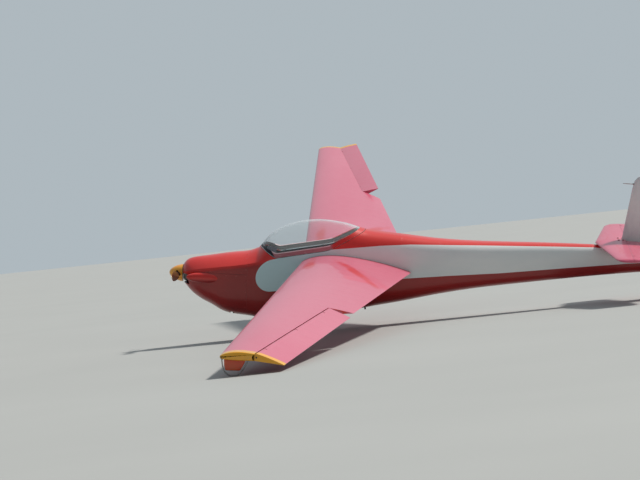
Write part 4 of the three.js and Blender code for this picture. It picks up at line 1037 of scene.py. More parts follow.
fuselage_paint = make_fuselage_paint()
cowl_paint = make_cowl_paint()
cheek_paint = make_cheek_paint()
wing_paint = make_wing_paint()
tail_paint = make_tail_paint()
fin_paint = make_fin_paint()
tip_yellow = make_gloss("tip_yellow_paint", YELLOW, srgb(226, 176, 60), wear=0.35, scale=5)
tip_wood = make_tip_wood()
spinner_yellow = make_gloss("spinner_yellow_paint", srgb(240, 150, 14), srgb(240, 170, 40), wear=0.4,
                            wear_colour=srgb(140, 92, 40), scale=7)
frame_paint = make_frame_paint()
frame_lining = make_plastic("frame_lining_white", srgb(236, 236, 232), rough=0.5)
cabin_lining = make_plastic("cabin_lining_grey", srgb(124, 126, 128), rough=0.65)
glass_clear = make_glass()
steel = make_metal("bare_steel_drawn", srgb(196, 196, 194), srgb(120, 122, 124), rust=0.5)
dark_steel = make_metal("dark_steel_painted", srgb(62, 64, 68), srgb(34, 36, 38), rough=0.5, metallic=0.35)
cast_metal = make_metal("cast_engine_metal", srgb(150, 150, 148), srgb(88, 88, 88), rough=0.6, cast=True)
alloy = make_metal("wheel_alloy_cast", srgb(190, 192, 194), srgb(140, 142, 146), rough=0.4, cast=True)
exhaust_steel = make_metal("exhaust_steel_heated", srgb(120, 92, 70), srgb(56, 46, 42), rough=0.6, rust=0.9)
fastener_paint = make_gloss("cowl_fastener_paint", srgb(168, 40, 36), srgb(186, 104, 98), wear=0.9,
                            wear_colour=srgb(196, 190, 186), scale=12)
bolt_cover_red = make_gloss("bolt_cover_dark_red", srgb(120, 18, 18), srgb(140, 32, 28), wear=0.3)
brass = make_metal("brass_sheath", srgb(206, 170, 92), srgb(150, 116, 56), rough=0.3)
prop_wood = make_wood("propeller_varnish", srgb(96, 52, 30), srgb(48, 24, 14), 0.7, laminated=0.006)
seat_wood = make_wood("seat_ply_varnish", srgb(176, 130, 82), srgb(120, 80, 46), 0.5)
seat_cloth = make_cloth("seat_cushion_cloth", srgb(72, 78, 92), srgb(34, 38, 48), 0.003, CUSHION_CHANNEL)
webbing = make_cloth("harness_webbing", srgb(60, 84, 132), srgb(30, 44, 84), 0.002)
rubber = make_rubber()
panel_black = make_plastic("panel_crackle_black", srgb(24, 26, 34))
navy_shield = make_plastic("glare_shield_navy", NAVY, rough=0.8)
dial_face = make_plastic("dial_face_black", srgb(12, 12, 13), rough=0.5)
dial_white = make_plastic("dial_mark_white", srgb(232, 232, 226), rough=0.5)
red_knob = make_plastic("knob_red", srgb(178, 24, 20), rough=0.35)
black_grip = make_plastic("grip_black", srgb(22, 22, 23), grain=600, rough=0.7)


def add_canopy_leaf(bm, centre, along, width, rise):
    """A leaf of a canopy hinge: a rounded plate that lies against the side, above or below its pin."""
    shape = [(LUG["radius"] * cos(a), LUG["radius"] * sin(a)) for a in (spaced(-pi / 2, pi / 2, pi / 8))]
    shape += [(-0.032, 0.034), (-0.032, 0.008)] if rise > 0 else [(-0.032, -0.008), (-0.032, -0.034)]
    plate(bm, [centre - along * width / 2 + Vector((0, y, z)) for y, z in shape], along, width)


def canopy_hinge(share):
    """A canopy hinge's middle, on its line just under the starboard rail."""
    ends = [Vector((x, 0.303, straight_row(CANOPY_LINE, x)[1] - 0.003)) for x in (1.267, 1.693)]
    return ends[0].lerp(ends[1], share), (ends[1] - ends[0]).normalized()


def line_inside(bm, front_of=10.0):
    """Gives the inner faces of a fuselage skin its second material, ahead of a station."""
    bm.normal_update()
    for face in bm.faces:
        middle = face.calc_center_median()
        outward = face.normal.y * middle.y + face.normal.z * (middle.z - 0.05)
        face.material_index = int(middle.x < front_of and outward < 0)


FAR_BELOW = -0.6        # under every section


# Fuselage: the cabin and the boom in one skin, open at the canopy, the wheel well and the nose
def make_fuselage():
    stations = spaced(CABIN_FRONT, CABIN_BACK, 0.025) + spaced(CABIN_BACK, STERN, 0.07)[1:]
    bm = fuselage_shell(stations)
    cut_at_canopy(bm, -CANOPY_GAP, keep_above=False)
    well = WHEEL_WELL
    side = well["half_width"]
    cut_hole(bm, (well["front"], -side, FAR_BELOW), (well["back"], side, well["roof"]))
    thicken(bm, CABIN_WALL)
    line_inside(bm, front_of=2.5)
    # The end plate, let a little into the wall round it
    loft(bm, [[fuselage_point(x, angle, -0.0012) for angle in circle(FUSELAGE_SIDES)]
              for x in (STERN - 0.008, STERN - 0.0006)])
    for share in (0, 1):
        centre, along = canopy_hinge(share)
        for offset in (-0.0135, 0.0135):
            add_canopy_leaf(bm, centre + along * offset, along, 0.009, -1)
    add_lug(bm, Vector((RUDDER_HINGE_X, 0, RUDDER_HINGE_ZS[0])), X_WAY, Z_WAY, 0.045)
    finish_piece(bm, "fuselage_skin", [fuselage_paint, cabin_lining], "fuselage_fabric", "fuselage_cabin",
                 "fuselage_boom")


def sheet(rows, thickness):
    """A thin sheet through rows of points."""
    bm = bmesh.new()
    loft(bm, rows, False, False, closed=False)
    thicken(bm, thickness)
    return bm


def make_cabin_floor():
    """The firewall, the floor and the bulkhead behind the seat, as one folded sheet."""
    corners = [(0.908, 0.262), (0.908, LEG_FLOOR_Z), (1.215, LEG_FLOOR_Z), (1.235, FLOOR_Z),
               (1.985, FLOOR_Z), (2.065, 0.315), (2.192, 0.520), (2.204, 0.556)]
    bends = rounded_line(corners, 0.008, 3)
    line = [bends[0]]
    for end in bends[1:]:
        start = line[-1]
        steps = max(1, round((end - start).length / 0.04))
        line += [start.lerp(end, (k + 1) / steps) for k in range(steps)]
    rows = []
    for x, z in line:
        half = half_width(x, z, CABIN_WALL) + 0.003
        rows.append([Vector((x, mix(-half, half, k / 8), z)) for k in range(9)])
    finish_piece(sheet(rows, 0.004), "cabin_floor", cabin_lining, "panel_black")


def make_well_liner():
    """The box over the main wheel, open below."""
    well = WHEEL_WELL
    half = well["half_width"]
    xs = spaced(well["front"], well["back"], 0.03)
    corners = [(x, -half) for x in xs] + [(x, half) for x in reversed(xs)]
    low = [Vector((x, y, smooth_row(FUSELAGE, x)[3] + 0.012)) for x, y in corners]
    high = [Vector((x, y, well["roof"] + 0.001)) for x, y in corners]
    bm = bmesh.new()
    loft(bm, [low, high], first_cap=False)
    thicken(bm, 0.003)
    finish_piece(bm, "wheel_well_liner", cabin_lining, "panel_black")


# Cowling
def side_point(x, z, side, lift=0.0):
    """A point on the fuselage's flank and the way it faces."""
    step = NORMAL_STEP
    across = half_width(x, z)
    along_x = (half_width(x + step, z) - half_width(x - step, z)) / (2 * step)
    along_z = (half_width(x, z + step) - half_width(x, z - step)) / (2 * step)
    normal = Vector((-along_x, side, -along_z)).normalized()
    return Vector((x, side * across, z)) + normal * lift, normal


def cowl_shell(keep_above):
    bm = fuselage_shell(spaced(COWL_FRONT, COWL_BACK, 0.0125), COWL_SIDES)
    split = COWL_SPLIT + (COWL_SPLIT_GAP if keep_above else 0.0)
    score(bm, (0, 0, split), Z_WAY)
    remove_faces(bm, lambda point: (point.z > split) != keep_above)
    return bm


def add_cheeks(bm):
    """The blisters over the cylinder heads: ellipsoids, their inner halves pressed to the cowl's skin."""
    made = bmesh.ops.create_uvsphere(bm, u_segments=72, v_segments=40, radius=1.0)["verts"]
    for vert in made:
        x = CHEEK["x"] + CHEEK["half_length"] * vert.co.x
        z = CHEEK["z"] + CHEEK["half_height"] * vert.co.z
        outside = CHEEK["y"] + CHEEK["half_width"] * vert.co.y
        vert.co = Vector((x, max(outside, half_width(x, z) - 0.002), z))
    for vert in verts_in(bmesh.ops.duplicate(bm, geom=bm.faces[:])["geom"]):
        vert.co.y = -vert.co.y
    bmesh.ops.recalc_face_normals(bm, faces=bm.faces)


FASTENER_HEAD = [(0, 0.0012), (0.0032, 0.0010), (0.0045, 0.0003), (0.0045, -0.0006)]


def make_cowling():
    upper = cowl_shell(keep_above=True)
    thicken(upper, COWL_WALL)
    finish_piece(upper, "cowl_upper_skin", cowl_paint, "cowl_shell", "cowl_upper")
    lower = cowl_shell(keep_above=False)
    for hole in (INTAKE, OUTLET):
        half = hole["half_width"]
        cut_hole(lower, (hole["front"], -half, hole["low"]), (hole["back"], half, hole["high"]))
    thicken(lower, COWL_WALL)
    finish_piece(lower, "cowl_lower_skin", cowl_paint, "cowl_shell", "cowl_lower")
    cheeks = bmesh.new()
    add_cheeks(cheeks)
    finish_piece(cheeks, "cowl_cheeks", cheek_paint, "cowl_shell", "cheek_left", "cheek_right")

    screws = bmesh.new()
    places = [(x, COWL_SPLIT + 0.019) for x in (0.250, 0.365, 0.480, 0.597, 0.714, 0.830)]
    places += [(x, COWL_SPLIT - 0.019) for x in (0.250, 0.660, 0.772, 0.880)]
    places += [(0.880, z) for z in (0.160, 0.110, -0.045, -0.140)] + [(0.878, -0.235), (0.876, -0.320)]
    for x, z in places:
        for side in (-1, 1):
            point, normal = side_point(x, z, side)
            turned(screws, FASTENER_HEAD, point, normal, 16)
    for y in (-0.20, -0.13, -0.05, 0.05, 0.13, 0.20):
        angle = next(a for a in spaced(0.01, pi - 0.01, 0.01) if fuselage_point(0.880, a).y <= y)
        point, normal = fuselage_point(0.880, angle), skin_normal(0.880, angle)
        turned(screws, FASTENER_HEAD, point, normal, 16)
    finish_piece(screws, "cowl_fasteners", fastener_paint, "bare_steel")


def make_engine():
    """A flat twin: its crankcase, two finned barrels with their heads, and the plugs."""
    bm = bmesh.new()
    block(bm, (0.330, -0.070, -0.105), (0.600, 0.070, 0.075), 0.018, 4)
    block(bm, (0.600, -0.095, -0.120), (0.660, 0.095, 0.095), 0.012, 3)
    block(bm, (0.360, -0.055, -0.150), (0.560, 0.055, -0.100), 0.010, 3)
    nose = [(0.030, 0.168), (0.070, 0.168), (0.082, 0.176), (0.086, 0.240), (0.094, 0.330), (0.030, 0.332)]
    turned(bm, nose, (0, 0, 0), X_WAY, 48, closed=True)
    for side in (-1, 1):
        for x in (0.405, 0.525):
            fins = [(0.030, 0.066)]
            for k in range(11):
                out = 0.070 + 0.0075 * k
                radius = 0.054 if k < 8 else 0.057
                fins += [(0.038, out), (radius, out + 0.0008), (radius, out + 0.0024), (0.038, out + 0.0032)]
            fins += [(0.044, 0.153), (0.044, 0.163), (0.0, 0.165)]
            turned(bm, fins, (x, 0, -0.010), (0, side, 0), 40)
            rod(bm, (x, side * 0.110, 0.020), (x, side * 0.118, 0.098), 0.009, sides=12)
            rod(bm, (x, side * 0.116, 0.080), (x, side * 0.121, 0.109), 0.0055, sides=12)
    finish_piece(bm, "engine_body", cast_metal, "engine_metal", "engine_block")


def hollow_end(bm, face, wall, depth):
    """Opens the end of a pipe."""
    direction = -face.normal.copy()
    bmesh.ops.inset_region(bm, faces=[face], thickness=wall)
    verts = verts_in(bmesh.ops.extrude_face_region(bm, geom=[face])["geom"])
    bmesh.ops.translate(bm, verts=verts, vec=direction * depth)
    if face.is_valid:
        bmesh.ops.delete(bm, geom=[face], context="FACES_ONLY")


def make_exhaust():
    bm = bmesh.new()
    points = [(0.600, 0.110, -0.150), (0.606, 0.110, -0.175), (0.640, 0.110, -0.240), (0.700, 0.105, -0.335),
              (0.726, 0.100, -0.402), (0.732, 0.098, -0.452)]
    faces = sweep(bm, curve_through(points, 8), 0.017, 28)
    bm.normal_update()
    hollow_end(bm, faces[-1], 0.0018, 0.05)
    point = Vector((0.600, 0.110, -0.150))
    turned(bm, [(0.016, 0), (0.026, 0.001), (0.026, 0.006), (0.016, 0.007)], point, (0, 0, -1), 32)
    finish_piece(bm, "exhaust_tube", exhaust_steel, "dark_steel", "exhaust_pipe")


# Propeller
# Blade sections: distance from the axis, chord, thickness, pitch in degrees
BLADE = [
    (0.030, 0.040, 0.034, 60), (0.090, 0.060, 0.028, 46), (0.180, 0.092, 0.020, 34),
    (0.320, 0.106, 0.014, 24), (0.460, 0.100, 0.010, 18), (0.570, 0.082, 0.008, 15),
    (0.620, 0.058, 0.006, 14), (0.640, 0.022, 0.004, 13),
]
BLADE_X, BOSS_RADIUS = 0.103, 0.050


def blade_point(distance, angle, side, grow=0.0):
    _, chord, thickness, pitch = smooth_row(BLADE, distance)
    twist = radians(pitch) * side
    along = (chord / 2 + grow) * cos(angle)
    flat = 1.0 if sin(angle) < 0 else 0.62
    out = (thickness / 2 + grow) * sin(angle) * flat
    return Vector((BLADE_X + along * sin(twist) + out * cos(twist), side * distance,
                   along * cos(twist) - out * sin(twist)))


def open_spinner(bm, side):
    """Cuts the spinner's opening for one blade: long along the blade's chord, with cut corners."""
    pitch = radians(46) * side
    chord, across = Vector((sin(pitch), 0, cos(pitch))), Vector((cos(pitch), 0, -sin(pitch)))
    middle = Vector((BLADE_X, 0, 0))
    walls = []
    for u, v, reach in ((1, 0, 0.036), (0, 1, 0.020), (0.5, 0.866, 0.030), (0.866, 0.5, 0.036)):
        walls += [((chord * u * a + across * v * b).normalized(), reach) for a in (-1, 1) for b in (-1, 1)]

    def is_near(point, room):
        within = all((point - middle).dot(out) < reach + room for out, reach in walls)
        return point.y * side > 0.04 and within

    for out, reach in walls:
        near = [face for face in bm.faces if is_near(face.calc_center_median(), 0.012)]
        score(bm, middle + out * reach, out, near)
    remove_faces(bm, lambda point: is_near(point, 0.0))


def make_propeller():
    turn = Matrix.Rotation(PROPELLER_PARKED, 4, -X_WAY)
    bm = bmesh.new()
    distances = spaced(0.030, 0.600, 0.015) + [0.612, 0.622, 0.630, 0.636, 0.6395]
    for side in (-1, 1):
        loft(bm, [[blade_point(d, angle, side) for angle in circle(36)] for d in distances])
    boss = [(0, 0.082), (0.046, 0.082), (BOSS_RADIUS, 0.086), (BOSS_RADIUS, 0.120), (0.046, 0.124),
            (0, 0.124)]
    turned(bm, boss, (0, 0, 0), X_WAY, 64)
    finish_piece(bm, "propeller_wood", prop_wood, "propeller_wood", "propeller_blades", body="propeller",
                 transform=turn)

    sheath = bmesh.new()
    wrap = [mix(-0.62, 0.62, k / 12) for k in range(13)]
    for side in (-1, 1):
        rings = []
        for d in spaced(0.390, 0.600, 0.015) + [0.612, 0.622, 0.630, 0.6365]:
            rings.append([blade_point(d, angle, side, 0.0007) for angle in wrap]
                         + [blade_point(d, angle, side, -0.0004) for angle in reversed(wrap)])
        loft(sheath, rings)
    finish_piece(sheath, "blade_edge_sheaths", brass, "propeller_wood", body="propeller", transform=turn)

    nose = bmesh.new()
    outline = [(0.0, 0.0), (0.012, 0.0018), (0.022, 0.006), (0.045, 0.024), (0.064, 0.050), (0.080, 0.084),
               (0.092, 0.122), (0.098, 0.155)]
    outline = [Vector((0.0, 0.0))] + curve_through(outline, 5)[1:]
    turned(nose, outline, (0, 0, 0), X_WAY, 96)
    for side in (-1, 1):
        open_spinner(nose, side)
    thicken(nose, 0.004)
    finish_piece(nose, "spinner_shell", spinner_yellow, "spinner_yellow", "spinner", body="propeller",
                 transform=turn)


# Canopy
def make_canopy():
    stations = spaced(CABIN_FRONT, CABIN_BACK - 0.002, 0.020)
    frame_skin = fuselage_shell(stations)
    cut_at_canopy(frame_skin, 0.0, keep_above=True)
    cut_at_canopy(frame_skin, 0.0, keep_above=False, frame_share=1)
    thicken(frame_skin, FRAME_WALL)
    line_inside(frame_skin)
    for share in (0, 1):
        centre, along = canopy_hinge(share)
        add_canopy_leaf(frame_skin, centre, along, 0.012, 1)
        add_pin(frame_skin, centre, along)
    finish_piece(frame_skin, "canopy_rim", [frame_paint, frame_lining], "frame_red", "canopy_frame",
                 body="canopy")

    glass = fuselage_shell(stations)
    cut_at_canopy(glass, 0.0003, keep_above=True, frame_share=1)
    thicken(glass, GLASS_WALL)
    finish_piece(glass, "canopy_bubble", glass_clear, "clear_glass", "canopy_glass", body="canopy")

    latch = bmesh.new()
    for x in (1.330, 1.700):
        z = straight_row(CANOPY_LINE, x)[1] + 0.026
        point, normal = side_point(x, z, -1, -0.017)
        rod(latch, point, point - normal * 0.014, 0.009, 0.007)
        arm = point - normal * 0.012
        rod(latch, arm - X_WAY * 0.022, arm + X_WAY * 0.026, 0.005, 0.004)
        knob = [(0, -0.009), (0.007, -0.006), (0.009, 0), (0.007, 0.006), (0, 0.009)]
        turned(latch, knob, arm + X_WAY * 0.032, X_WAY, 24)
    finish_piece(latch, "canopy_latches", red_knob, "frame_red", body="canopy")


# Flying surfaces
def weld(bm):
    bmesh.ops.remove_doubles(bm, verts=bm.verts, dist=1e-6)
    bmesh.ops.recalc_face_normals(bm, faces=bm.faces)


def slotted_rings(section_at, stations, hinges):
    """Rings of a moving surface, cut back over each hinge's slot."""
    slots = [(place - LUG["slot_half"], place + LUG["slot_half"]) for place in hinges]
    edges = {edge for slot in slots for edge in slot}
    clear = {y for y in stations if not any(low - 0.004 < y < high + 0.004 for low, high in slots)}
    rings = []
    for y in sorted(clear | edges):
        section = section_at(y)
        open_ring, cut_ring = moving_ring(section), moving_ring(section, notched=True)
        if any(y == low for low, _ in slots):
            rings += [open_ring, cut_ring]
        elif any(y == high for _, high in slots):
            rings += [cut_ring, open_ring]
        else:
            rings.append(open_ring)
    return rings


def root_ring(out, grow):
    """The wing's section where it meets the fuselage's flank, a little out from it."""
    ring = fixed_ring(replace(wing_section(0.290), grow=grow, sag=0.0), cove=False)
    for point in ring:
        point.y = half_width(point.x, point.z) + out
    return ring


def slanted_ring(y, share):
    """The whole section at a span, its rear drawn inboard by a share of the end rib's slant."""
    ring = fixed_ring(wing_section(y), cove=False)
    if share <= 0:
        return ring
    hinge_x = wing_section(y).pivot()[0].x
    inward = [max(point.x - hinge_x, 0.0) * RIB_SLANT * share for point in ring]
    return [fixed_ring(wing_section(y - shift), cove=False)[k] for k, shift in enumerate(inward)]


def flip_to_port(bm):
    bmesh.ops.scale(bm, vec=(1, -1, 1), verts=bm.verts)
    bmesh.ops.reverse_faces(bm, faces=bm.faces)


def aileron_hinges():
    start, end = (wing_section(y).pivot()[0] for y in (AILERON_INNER, AILERON_OUTER))
    return start, end, [start.lerp(end, share) for share in (0.1, 0.5, 0.9)]


def make_wing(side):
    word = "left" if side < 0 else "right"
    start, end, hinges = aileron_hinges()
    along = (end - start).normalized()
    cove_edge = AILERON_INNER - AILERON_END_GAP
    wing = bmesh.new()
    rings = [root_ring(-0.012, 0.0015), root_ring(0.014, 0.0015), root_ring(0.0145, 0.0)]
    for y in spaced(0.345, cove_edge, RIB_PITCH / 4):
        rings.append(slanted_ring(y, (y - cove_edge) / RIB_BLEND + 1))
    for y in spaced(cove_edge, CAP_INNER - 0.0003, RIB_PITCH / 4):
        rings.append(fixed_ring(wing_section(y), cove=True))
    loft(wing, rings)
    weld(wing)
    for hinge in hinges:
        section = wing_section(hinge.y)
        add_lug(wing, hinge, section.along, along, section.pivot()[1] + LIP_GAP)
    cap = bmesh.new()
    cap_rings = []
    rounded_ys = [HALF_SPAN - CAP_ROUNDING * (1 - sin(pi / 12 * k)) for k in range(7)]
    for y in [CAP_INNER, 7.100, 7.118] + rounded_ys:
        shrunk = -0.010 * (1 - tip_share(HALF_SPAN - y, CAP_ROUNDING))
        cap_rings.append(fixed_ring(replace(wing_section(y), sag=0.0, grow=shrunk), cove=True))
    loft(cap, cap_rings)
    aileron = bmesh.new()
    stations = spaced(AILERON_INNER, AILERON_OUTER - AILERON_TIP_ROOM, RIB_PITCH / 4)
    loft(aileron, slotted_rings(wing_section, stations, [hinge.y for hinge in hinges]))
    weld(aileron)
    for hinge in hinges:
        add_pin(aileron, hinge, along)
    bolt = bmesh.new()
    turned(bolt, [(0, 0.002), (0.006, 0.002), (0.007, 0.0005), (0.007, -0.004)], end, along, 6)
    horn = [(-0.008, 0.004), (0.05, 0.004), (0.020, -0.034), (0.008, -0.034)]
    root = wing_section(HORN_SPAN).point(0.72, -1)
    plate(bolt, [root + Vector((x, 0, z)) for x, z in horn], Y_WAY, 0.003)
    if side < 0:
        for bm in (wing, cap, aileron, bolt):
            flip_to_port(bm)
    finish_piece(wing, f"wing_skin_{word}", wing_paint, "wing_fabric", f"wing_{word}")
    finish_piece(cap, f"tip_cap_shell_{word}", tip_yellow, "tip_yellow", f"tip_cap_{word}")
    pivot = Vector((start.x, start.y * side, start.z))
    axis = Vector((along.x * side, along.y, along.z * side))
    turn = turn_about(pivot, axis, AILERON_DOWN if side < 0 else -AILERON_UP)
    finish_piece(aileron, f"aileron_skin_{word}", wing_paint, "wing_fabric", f"aileron_{word}",
                 body=f"aileron_{word}", transform=turn)
    finish_piece(bolt, f"aileron_bolt_{word}", dark_steel, "dark_steel", body=f"aileron_{word}",
                 transform=turn)


def make_tip_skid(side):
    word = "left" if side < 0 else "right"
    section = replace(wing_section(SKID_SPAN), sag=0.0)
    bm = bmesh.new()
    top = [section.point(u, -1) for u in spaced(0.065, 0.395, 0.03)]
    outline = [(1.282, 0.500), (1.292, 0.456), (1.300, 0.4545), (1.407, 0.4565), (1.416, 0.459),
               (1.441, 0.503)]
    outline += [(point.x, point.z + 0.003) for point in reversed(top)]
    faces = plate(bm, [Vector((x, SKID_SPAN - 0.024, z)) for x, z in outline], Y_WAY, 0.048)
    round_rims(bm, faces, 0.007, 4)
    sole = [(1.290, 0.4600), (1.296, 0.4528), (1.302, 0.4515), (1.405, 0.4535), (1.413, 0.4552),
            (1.422, 0.4640)]
    metal = sheet([[Vector((x, SKID_SPAN + s, z)) for s in (-0.015, -0.005, 0.005, 0.015)] for x, z in sole],
                  0.0022)
    for x in (1.320, 1.385):
        screw = [(0, 0.0012), (0.004, 0.0009), (0.0046, 0)]
        turned(metal, screw, (x, SKID_SPAN, 0.4512 + (x - 1.302) * 0.0194), -Z_WAY, 16)
    hoop = bmesh.new()
    points = [(1.262, 0.566), (1.261, 0.530), (1.276, 0.455), (1.314, 0.415), (1.358, 0.408), (1.399, 0.420),
              (1.434, 0.458), (1.470, 0.520), (1.482, 0.560)]
    sweep(hoop, curve_through([(x, SKID_SPAN, z) for x, z in points], 8), 0.005, 16)
    for x, z in ((1.2615, 0.550), (1.4745, 0.552)):
        collar = [(0.005, 0.0), (0.013, 0.001), (0.014, 0.003), (0.005, 0.010)]
        turned(hoop, collar, (x, SKID_SPAN, z), -Z_WAY, 24)
    if side < 0:
        for shape in (bm, metal, hoop):
            flip_to_port(shape)
    finish_piece(bm, f"tip_block_wood_{word}", tip_wood, "tip_orange", f"tip_block_{word}")
    finish_piece(metal, f"tip_sole_plate_{word}", steel, "bare_steel")
    finish_piece(hoop, f"tip_hoop_bar_{word}", steel, "bare_steel", f"tip_hoop_{word}")


TAIL_TIP_YS = [1.215, 1.230, 1.240, 1.247, 1.252, 1.256, 1.2585, 1.260]
FIN_TIP_ZS = [1.235, 1.258, 1.272, 1.282, 1.290, 1.296, 1.300, 1.302]


def make_tailplane():
    ys = spaced(0.0, 1.200, TAIL_STATION_PITCH) + TAIL_TIP_YS
    every = [-y for y in reversed(ys[1:])] + ys
    bm = bmesh.new()
    loft(bm, [fixed_ring(tail_section(y), cove=True) for y in every])
    weld(bm)
    hinges = [y * side for side in (-1, 1) for y in ELEVATOR_HINGE_YS]
    for y in hinges:
        centre, radius, _ = tail_section(y).pivot()
        add_lug(bm, centre, tail_section(y).along, Y_WAY, radius + LIP_GAP)
    finish_piece(bm, "tailplane_skin", tail_paint, "wing_fabric", "tailplane")

    elevator = bmesh.new()
    for side in (-1, 1):
        half = bmesh.new()
        stations = spaced(ELEVATOR_INNER, 1.200, TAIL_STATION_PITCH) + TAIL_TIP_YS
        loft(half, slotted_rings(tail_section, stations, ELEVATOR_HINGE_YS))
        weld(half)
        if side < 0:
            flip_to_port(half)
        spare = bpy.data.meshes.new("elevator_half")
        half.to_mesh(spare)
        half.free()
        elevator.from_mesh(spare)
        bpy.data.meshes.remove(spare)
    centre = tail_section(0.0).pivot()[0]
    rod(elevator, centre - Y_WAY * 0.123, centre + Y_WAY * 0.123, 0.013, sides=32)
    for y in hinges:
        add_pin(elevator, Vector((centre.x, y, centre.z)), Y_WAY)
    finish_piece(elevator, "elevator_skin", tail_paint, "wing_fabric", "elevator", body="elevator")


def make_fin():
    bm = bmesh.new()
    zs = spaced(0.450, 1.200, TAIL_STATION_PITCH) + FIN_TIP_ZS
    loft(bm, [fixed_ring(fin_section(z), cove=True) for z in zs])
    weld(bm)
    for z in RUDDER_HINGE_ZS[1:]:
        centre, radius, _ = fin_section(z).pivot()
        add_lug(bm, centre, X_WAY, Z_WAY, radius + LIP_GAP)
    finish_piece(bm, "fin_skin", fin_paint, "fin_fabric", "fin")

    rudder = bmesh.new()
    stations = [0.272, 0.276, 0.284, 0.315, 0.400] + zs
    loft(rudder, slotted_rings(fin_section, stations, RUDDER_HINGE_ZS))
    weld(rudder)
    for z in RUDDER_HINGE_ZS:
        add_pin(rudder, Vector((RUDDER_HINGE_X, 0, z)), Z_WAY)
    finish_piece(rudder, "rudder_skin", fin_paint, "fin_fabric", "rudder", body="rudder")

    probe = bmesh.new()
    rod(probe, (5.010, 0, 1.2022), (5.105, 0, 1.200), 0.005, sides=16)
    tip = [Vector((x, 0, 1.2022 + (5.010 - x) * 0.03)) for x in (4.981, 4.986, 5.012)]
    sweep(probe, tip, 0.0026, 16, 0.0036)
    turned(probe, [(0.005, -0.012), (0.010, -0.002), (0.012, 0.004)], (5.098, 0, 1.2002), (1, 0, -0.02), 24)
    finish_piece(probe, "pitot_tube", steel, "bare_steel", "pitot_rod")

    pads = bmesh.new()
    for x, y in ((4.965, -0.070), (5.012, -0.070), (4.965, 0.070), (5.012, 0.070)):
        section = tail_section(y)
        top = section.point((x - section.lead.x) / section.chord, 1)
        turned(pads, [(0, 0.007), (0.009, 0.0062), (0.013, 0.003), (0.014, -0.002)], top, section.upward, 28)
    finish_piece(pads, "tailplane_bolt_covers", bolt_cover_red, "wing_fabric")


# Cockpit
SEAT = {"front": 1.480, "back": 1.905, "front_rise": 0.062, "back_rise": 0.018, "half_width": 0.215,
        "back_foot": 1.915, "back_top": 2.005, "top_z": 0.300}
SEAT_FLOOR = FLOOR_Z + 0.0003


def pan_top(x):
    share = (x - SEAT["front"] - 0.020) / (SEAT["back"] - SEAT["front"] - 0.020)
    return SEAT_FLOOR + mix(SEAT["front_rise"], SEAT["back_rise"], share)


def back_face(z):
    return mix(SEAT["back_foot"], SEAT["back_top"], (z - SEAT_FLOOR) / (SEAT["top_z"] - SEAT_FLOOR))


def make_seat():
    half = SEAT["half_width"]
    bm = bmesh.new()
    front, rear = SEAT["front"], SEAT["back"]
    corners = [(front, SEAT_FLOOR), (front, SEAT_FLOOR + 0.062), (front + 0.022, pan_top(front + 0.022)),
               (rear, pan_top(rear))]
    rows = [[Vector((x, mix(-half, half, k / 8), z)) for k in range(9)]
            for x, z in rounded_line(corners, 0.012, 5)]
    loft(bm, rows, False, False, False)
    bmesh.ops.solidify(bm, geom=bm.faces[:] + bm.edges[:] + bm.verts[:], thickness=0.006)
    for side in (-1, 1):
        outline = [(1.487, SEAT_FLOOR), (1.900, SEAT_FLOOR), (1.900, pan_top(1.900) - 0.005),
                   (1.506, pan_top(1.506) - 0.006), (1.487, pan_top(1.506) - 0.010)]
        y = side * (half - 0.010)
        plate(bm, [Vector((x, y, z)) for x, z in outline], (0, -side, 0), 0.006)
    finish_piece(bm, "seat_pan_ply", seat_wood, "seat_wood", "seat_pan")

    back = bmesh.new()
    wide, top, corner = half - 0.010, SEAT["top_z"], 0.055
    arc = [mix(0, pi / 2, k / 8) for k in range(9)]
    shape = [(wide - corner + corner * cos(a), top - corner + corner * sin(a)) for a in arc]
    shape = [(wide, SEAT_FLOOR)] + shape + [(-y, z) for y, z in reversed(shape)] + [(-wide, SEAT_FLOOR)]
    lean = Vector((SEAT["back_top"] - SEAT["back_foot"], 0, top - SEAT_FLOOR)).normalized()
    rearward = Vector((lean.z, 0, -lean.x))
    board = plate(back, [Vector((back_face(z), y, z)) for y, z in shape], rearward, 0.010)
    round_rims(back, board, 0.003, 3)
    for y in (-0.13, 0.13):
        low, high = Vector((back_face(SEAT_FLOOR), y, SEAT_FLOOR)), Vector((back_face(0.27), y, 0.27))
        corners = [(low, 0.009), (low, 0.034), (high, 0.022), (high, 0.009)]
        plate(back, [end + rearward * out for end, out in corners], Y_WAY, 0.014)
    finish_piece(back, "seat_back_ply", seat_wood, "seat_wood", "seat_back")


def settle(piece):
    """Makes a piece's modifiers part of its mesh."""
    shaped = piece.evaluated_get(bpy.context.evaluated_depsgraph_get())
    mesh = bpy.data.meshes.new_from_object(shaped)
    piece.modifiers.clear()
    piece.data = mesh


def stuff(piece, press, cap):
    """Swells a cushion with a cloth simulation; press is the way that it rests on its seat."""
    cells = piece.modifiers.new("even_cells", "REMESH")
    cells.mode = "VOXEL"
    cells.voxel_size = 0.0055
    settle(piece)
    start = [vert.co.copy() for vert in piece.data.vertices]
    cloth = piece.modifiers.new("stuffing", "CLOTH")
    cloth.settings.use_pressure = True
    cloth.settings.uniform_pressure_force = 4.0
    cloth.settings.effector_weights.gravity = 0.0
    cloth.point_cache.frame_start, cloth.point_cache.frame_end = 1, 20
    for step in range(1, 21):
        scene.frame_set(step)
    settle(piece)
    scene.frame_set(1)
    for vert, before in zip(piece.data.vertices, start):
        move = vert.co - before
        move -= press * max(move.dot(press), 0.0)
        vert.co = before + move * min(1.0, cap / max(move.length, 1e-9))


